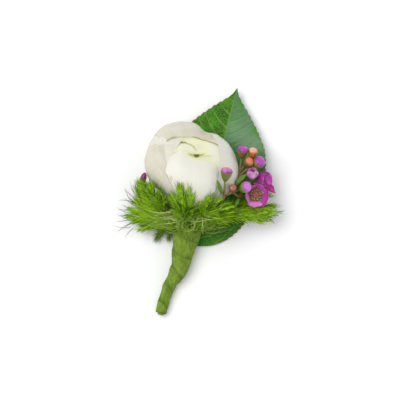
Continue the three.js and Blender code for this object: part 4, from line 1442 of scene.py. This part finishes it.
def cup_finish(settings):
    f = Finish("Wax flower cup", Roughness=0.45, Coat_Weight=0.08, Coat_Roughness=0.2)
    inside, tone, stamen = f.painted(*CUP_PAINTS)
    grain = f.noise(0.7, 3.0)
    floor = grain.step(0.4, 0.65).mix(settings.cup_inside, scaled_tint(settings.cup_inside, 0.45))
    f.paint(
        (grain.step(0.35, 0.7) * 0.8).mix(settings.cup, CUP_RED),
        (inside.step(0.15, 0.35), scaled_tint(settings.cup_inside, 0.3)),
        (inside.step(0.6, 0.9), floor),
        (stamen, tone.step(0.55, 0.95).mix(THREAD_DARK, THREAD_PALE)))
    f.bump(grain, 0.08, 0.5)
    return f.material


def add_wax_petal(form, seed, foot, direction, radius, height, length, splay, turn, wider, tone,
                  lift=0.0):
    """A round cupped petal on a short claw, standing on the cup's rim."""
    rng = np.random.default_rng(seed)
    u, v = sheet_grid(*FLOWER_PETAL_GRID)
    full = np.sqrt(np.maximum(0.004, np.sin(math.pi * (0.06 + 0.935 * u) ** 0.85)))
    width = PETAL_WIDTH * length * wider * full
    length = length * (1 - 0.10 * v * v)
    lean = rng.uniform(-0.08, 0.08)
    cupping = rng.uniform(0.16, 0.28) * length * v * v * np.sin(math.pi * u * 0.8 + 0.3)
    curl = rng.uniform(0.06, 0.28) * length * smooth(0.55, 1.05, u)
    wave = 0.05 * length * np.sin(5 * v + rng.uniform(0, 6)) * smooth(0.5, 1, u)
    out = radius - 0.1 + length * u * (splay + lean)
    up = height + length * u * (1 - splay) * 0.9 + cupping + curl + wave + lift * u
    skin = PETAL_SKIN * (1 - 0.6 * smooth(0.7, 1, u))
    spin = turn + rng.uniform(-0.08, 0.08)
    across = width * v * (1 - 0.12 * smooth(0.7, 1, u))
    faces = [placed(turned_flat(out, across, up + side, spin), foot, direction)
             for side in (skin, -skin)]
    add_shell(form, *faces, along=u, across=v, tone=tone)


def wax_petal_finish(settings):
    f = Finish("Wax flower petal", Roughness=0.42, Subsurface_Weight=0.12, Subsurface_Scale=0.0008,
               Sheen_Weight=0.1)
    along, across, tone, under = f.painted(*FLOWER_PETAL_PAINTS)
    veins = f.flat_noise(across * 9, along * 1.2)
    paler = tone.step(0.0, 1.1) * 0.75 + veins.step(0.4, 0.7) * tone.step(-0.5, 0.5) * 0.35
    f.paint(
        tone.step(-0.8, 0.0).mix(DEEP_PINK, settings.petal),
        (paler, settings.petal_pale),
        (tone.step(1.1, 1.6) * veins.step(0.3, 0.6) * 0.7, STREAK_PINK),
        (along.step(0.82, 1.0) * tone.step(-0.6, 0.4) * 0.6, EDGE_PINK),
        ((1 - along.step(0.0, 0.3)) * 0.6, scaled_tint(settings.petal, 0.6)),
        (under * 0.35, settings.petal_pale))
    f.bump(veins, 0.1, 0.5)
    return f.material


class BUTTONHOLE_OT_flowers(bpy.types.Operator):
    """Make the open wax flowers and the one still folded"""
    bl_idname = "buttonhole.flowers"
    bl_label = "Wax flowers"

    def execute(self, context):
        settings = context.scene.buttonhole_wax
        petals, cups = wax_petal_finish(settings), cup_finish(settings)
        for seed, flower in enumerate(FLOWERS):
            name, foot, direction, radius, height, length, splay, turn = flower
            form = Form(*CUP_PAINTS)
            add_cup(form, foot, direction, radius, height)
            chances = np.random.default_rng(SEEDS["stamens"] + seed)
            add_stamens(form, chances, foot, direction, radius, height)
            form.piece(f"waxflower_{name}_cup", cups, "flower_cups", f"flower_{name}_cup")
            for i, (longer, wider, flatter, tone) in enumerate(PETAL_SHAPES[name]):
                form = Form(*FLOWER_PETAL_PAINTS)
                add_wax_petal(form, SEEDS["flower_petals"] + 10 * seed + i, foot, direction, radius,
                              height, length * longer, splay + flatter, math.radians(turn + 72 * i),
                              wider, tone, lift=0.5 * (i % 2))
                form.piece(f"waxflower_{name}_petal_{i + 1}", petals, "wax_petals",
                           f"flower_{name}_petal_{i + 1}")
        self.folded(petals, cups)
        return {"FINISHED"}

    @staticmethod
    def folded(petals, cups):
        foot, direction, radius, height, rim, length, splay = FOLDED_FLOWER
        form = Form(*CUP_PAINTS)
        add_cup(form, foot, direction, radius, height)
        form.piece("waxflower_folded_cup", cups, "flower_cups", "flower_folded_cup")
        form = Form(*FLOWER_PETAL_PAINTS)
        for i in range(5):
            add_wax_petal(form, SEEDS["folded_petals"] + i, foot, direction, radius, rim, length,
                          splay, math.radians(72 * i + 20), 0.95, 1.2 + 0.1 * i)
        form.piece("waxflower_folded_petals", petals, "wax_petals", "flower_folded_petals")


# Radius of each shoot and the points that it runs through. The first one of a twig comes out of the
# wrap, at the place in it that TWIG_TURNS sets in degrees.
TWIG_TURNS = {"right": 50, "left": 169}
RIGHT_TWIGS = (
    (0.8, ((1.2, -8.4, 15), (6.8, -4.8, 20.8), (10.3, -1, 25.4), (10.7, 2.9, 28.4))),
    (0.5, ((10.7, 2.6, 28.2), (11, 5.6, 30.6), (11.1, 8.9, 32))),
    (0.5, ((10.6, 2.4, 28), (13.4, 3.6, 26), (15.8, 4.6, 23), (17.5, 5.3, 21.1))),
    (0.45, ((13, 3.3, 26.3), (14.2, 4.6, 26.2))),
    (0.6, ((14.6, 4, 25), (17, 7.6, 22), (18.2, 11.8, 20), (21.4, 14.8, 18.2), (24, 16.3, 17.4))),
    (0.5, ((18, 11, 20.1), (18.3, 15.4, 18.6), (19.1, 20, 18.8))),
    (0.55, ((15.2, 4, 24.6), (18.2, 2.4, 18), (21.5, 2.6, 13.2), (25.9, 3.3, 12.4))),
    (0.45, ((18.4, 2.5, 17.4), (20.6, 5.8, 14.8), (23.7, 9.5, 15.4))),
    (0.4, ((18.1, 13, 19.6), (19, 15, 18.9), (20.1, 16.4, 18.6))),
    (0.4, ((21.4, 14.8, 18.2), (22.5, 17.2, 18), (23.9, 19.3, 18.2))),
    (0.45, ((24.2, 3, 12.5), (25.4, 6.2, 10), (26.4, 8.4, 9.8))),
)
LEFT_TWIGS = (
    (0.6, ((-12.4, -7.9, 13.2), (-20.4, -5.2, 17.4), (-28.3, 1.2, 21.5), (-27.7, 6.4, 25))),
)
# name, foot, tip, half width
NEEDLES = (
    ("right", (16.2, 8, 23.8), (21, 12.6, 23), 1.4),
    ("tall", (10, 3.6, 29.9), (7.4, 9.8, 36), 1.1),
    ("low", (18, 1.4, 19.4), (16.2, -2.2, 20.2), 0.8),
    ("left", (-28.8, 2.4, 24.2), (-30.3, 8, 25.5), 0.6),
)


# Rings of a twig for each point it runs through, and of a needle leaf.
TWIG_RINGS, NEEDLE_RINGS = 12, 30


def twig_finish(settings):
    f = Finish("Wax flower twig", Roughness=0.55)
    [along] = f.painted("along")
    grain = f.noise(0.9, 4.0)
    f.paint(grain.step(0.35, 0.7).mix(settings.bark, scaled_tint(settings.bark, 1.5)),
            (along.step(0.4, 1.0) * 0.6, settings.twig_green))
    f.bump(grain, 0.12, 0.6)
    return f.material


class BUTTONHOLE_OT_twigs(bpy.types.Operator):
    """Make the wax flower twigs and their narrow leaves"""
    bl_idname = "buttonhole.twigs"
    bl_label = "Twigs"

    def execute(self, context):
        settings = context.scene.buttonhole_wax
        finish = twig_finish(settings)
        for side, twigs in (("right", RIGHT_TWIGS), ("left", LEFT_TWIGS)):
            form = Form("along")
            for i, (radius, points) in enumerate(twigs):
                route = [*bundle_stem(TWIG_TURNS[side], radius), *points] if i == 0 else points
                share = np.linspace(0, 1, TWIG_RINGS * len(route))
                knots = 1 + 0.12 * np.maximum(0, np.sin(share * 9 + i)) ** 6
                add_tube(form, route, radius * (1.0 - 0.22 * share) * knots,
                         along=share * 0.6 if i == 0 else 0.35 + share * 0.65)
            form.piece(f"sprig_{side}", finish, "twigs", f"wax_twig_{side}")
        leaves = green_finish("Needle leaf", settings.needle, 0.7, 0.45)
        share = np.linspace(0, 1, NEEDLE_RINGS)
        full = np.sqrt(np.maximum(0.001, np.sin(math.pi * (0.04 + 0.95 * share ** 0.8))))
        for name, foot, tip, width in NEEDLES:
            form = Form("tone", "edge")
            middle = (np.array(foot) + np.array(tip)) / 2 + (0, 0, 0.4)
            path, tangents = curve([foot, middle, tip], NEEDLE_RINGS)
            rings = tube_rings(path, tangents, full * width * 0.85, full * width * 0.4)
            add_rings(form, rings, tone=0.4 + 0.4 * share, edge=smooth(0.9, 1, share))
            form.piece(f"narrow_leaf_{name}", leaves, "needle_leaves", f"needle_{name}")
        return {"FINISHED"}


# ---------------------------------------------------------------- stage


class StageSettings(bpy.types.PropertyGroup):
    """Floor, lights and camera."""
    floor: tint("Floor", "Matt white sheet", (0.95, 0.95, 0.95))
    height: FloatProperty(
        name="Camera height", description="Above the floor", default=0.72, min=0.2, max=3,
        unit="LENGTH")
    key: FloatProperty(
        name="Key light", description="Large soft light, upper left", default=10.4, min=0)
    fill: FloatProperty(name="Fill light", description="Overall pale light", default=0.56, min=0)


CAMERA_OVER = (-0.24, 0.72, 0)
CAMERA_LENS, CAMERA_SENSOR = 135, 36
SKY = (0.985, 0.985, 1.0, 1)
FLOOR_SIDE = 3.0
KEY_DIRECTION = (-0.36, 0.24, 0.90)
SIDE_DIRECTION = (0.85, -0.15, 0.5)
SIDE_SHARE = 0.16
LIGHT_DISTANCE = 1.2
LIGHT_SIZE = 0.85


def add_light(name, direction, power):
    """A square soft light that faces the origin from a direction."""
    lamp = bpy.data.lights.new(name, "AREA")
    lamp.shape, lamp.size, lamp.energy = "SQUARE", LIGHT_SIZE, power
    made = bpy.data.objects.new(name, lamp)
    bpy.context.scene.collection.objects.link(made)
    made.location = Vector(direction).normalized() * LIGHT_DISTANCE
    made.rotation_euler = Vector(direction).to_track_quat("Z", "Y").to_euler()


class BUTTONHOLE_OT_stage(bpy.types.Operator):
    """Set up the pale floor, the soft lights and the camera"""
    bl_idname = "buttonhole.stage"
    bl_label = "Stage"

    def execute(self, context):
        scene, settings = context.scene, context.scene.buttonhole_stage
        mesh = bpy.data.meshes.new("floor_sheet")
        low, high = -FLOOR_SIDE, FLOOR_SIDE
        corners = [(low, low, 0), (high, low, 0), (high, high, 0), (low, high, 0)]
        mesh.from_pydata(corners, [], [(0, 1, 2, 3)])
        sheet = Finish("Floor sheet", Roughness=0.9, Specular_IOR_Level=0.1)
        sheet.paint(sheet.noise(3, 2.0).mix(scaled_tint(settings.floor, 0.995), settings.floor))
        mesh.materials.append(sheet.material)
        floor = bpy.data.objects.new("floor_sheet", mesh)
        scene.collection.objects.link(floor)

        world = bpy.data.worlds.new("Studio")
        scene.world = world
        world.use_nodes = True
        backdrop = world.node_tree.nodes["Background"].inputs
        backdrop["Color"].default_value = SKY
        backdrop["Strength"].default_value = settings.fill
        add_light("key_softbox", KEY_DIRECTION, settings.key)
        add_light("side_softbox", SIDE_DIRECTION, settings.key * SIDE_SHARE)

        lens = bpy.data.cameras.new("camera")
        lens.lens, lens.sensor_width = CAMERA_LENS, CAMERA_SENSOR
        camera = bpy.data.objects.new("camera", lens)
        scene.collection.objects.link(camera)
        camera.location = in_frame(CAMERA_OVER)
        camera.location.z = settings.height
        scene.camera = camera
        scene.view_settings.view_transform = "Standard"
        return {"FINISHED"}


# ---------------------------------------------------------------- add-on

OPERATORS = (
    BUTTONHOLE_OT_stage, BUTTONHOLE_OT_petals, BUTTONHOLE_OT_heart, BUTTONHOLE_OT_sepals,
    BUTTONHOLE_OT_stem, BUTTONHOLE_OT_leaf, BUTTONHOLE_OT_tape, BUTTONHOLE_OT_plumes,
    BUTTONHOLE_OT_twigs, BUTTONHOLE_OT_buds, BUTTONHOLE_OT_flowers,
)
SETTINGS = {
    "buttonhole_stage": StageSettings, "buttonhole_bloom": BloomSettings,
    "buttonhole_greens": GreensSettings, "buttonhole_tape": TapeSettings,
    "buttonhole_wax": WaxSettings,
}


class BUTTONHOLE_PT_panel(bpy.types.Panel):
    """Lists the makers of the buttonhole flower and their settings"""
    bl_idname = "BUTTONHOLE_PT_panel"
    bl_label = "Ranunculus Buttonhole"
    bl_space_type = "VIEW_3D"
    bl_region_type = "UI"
    bl_category = "Buttonhole"

    def draw(self, context):
        for name, kind in SETTINGS.items():
            box = self.layout.box()
            box.label(text=kind.__doc__.rstrip("."))
            for key in kind.__annotations__:
                box.prop(getattr(context.scene, name), key)
        for operator in OPERATORS:
            self.layout.operator(operator.bl_idname)


CLASSES = (*SETTINGS.values(), *OPERATORS, BUTTONHOLE_PT_panel)


def register():
    for kind in CLASSES:
        bpy.utils.register_class(kind)
    for name, kind in SETTINGS.items():
        setattr(bpy.types.Scene, name, PointerProperty(type=kind))


def unregister():
    for name in SETTINGS:
        delattr(bpy.types.Scene, name)
    for kind in reversed(CLASSES):
        bpy.utils.unregister_class(kind)


def main():
    register()
    for operator in OPERATORS:
        group, name = operator.bl_idname.split(".")
        getattr(getattr(bpy.ops, group), name)()


if __name__ == "__main__":
    main()
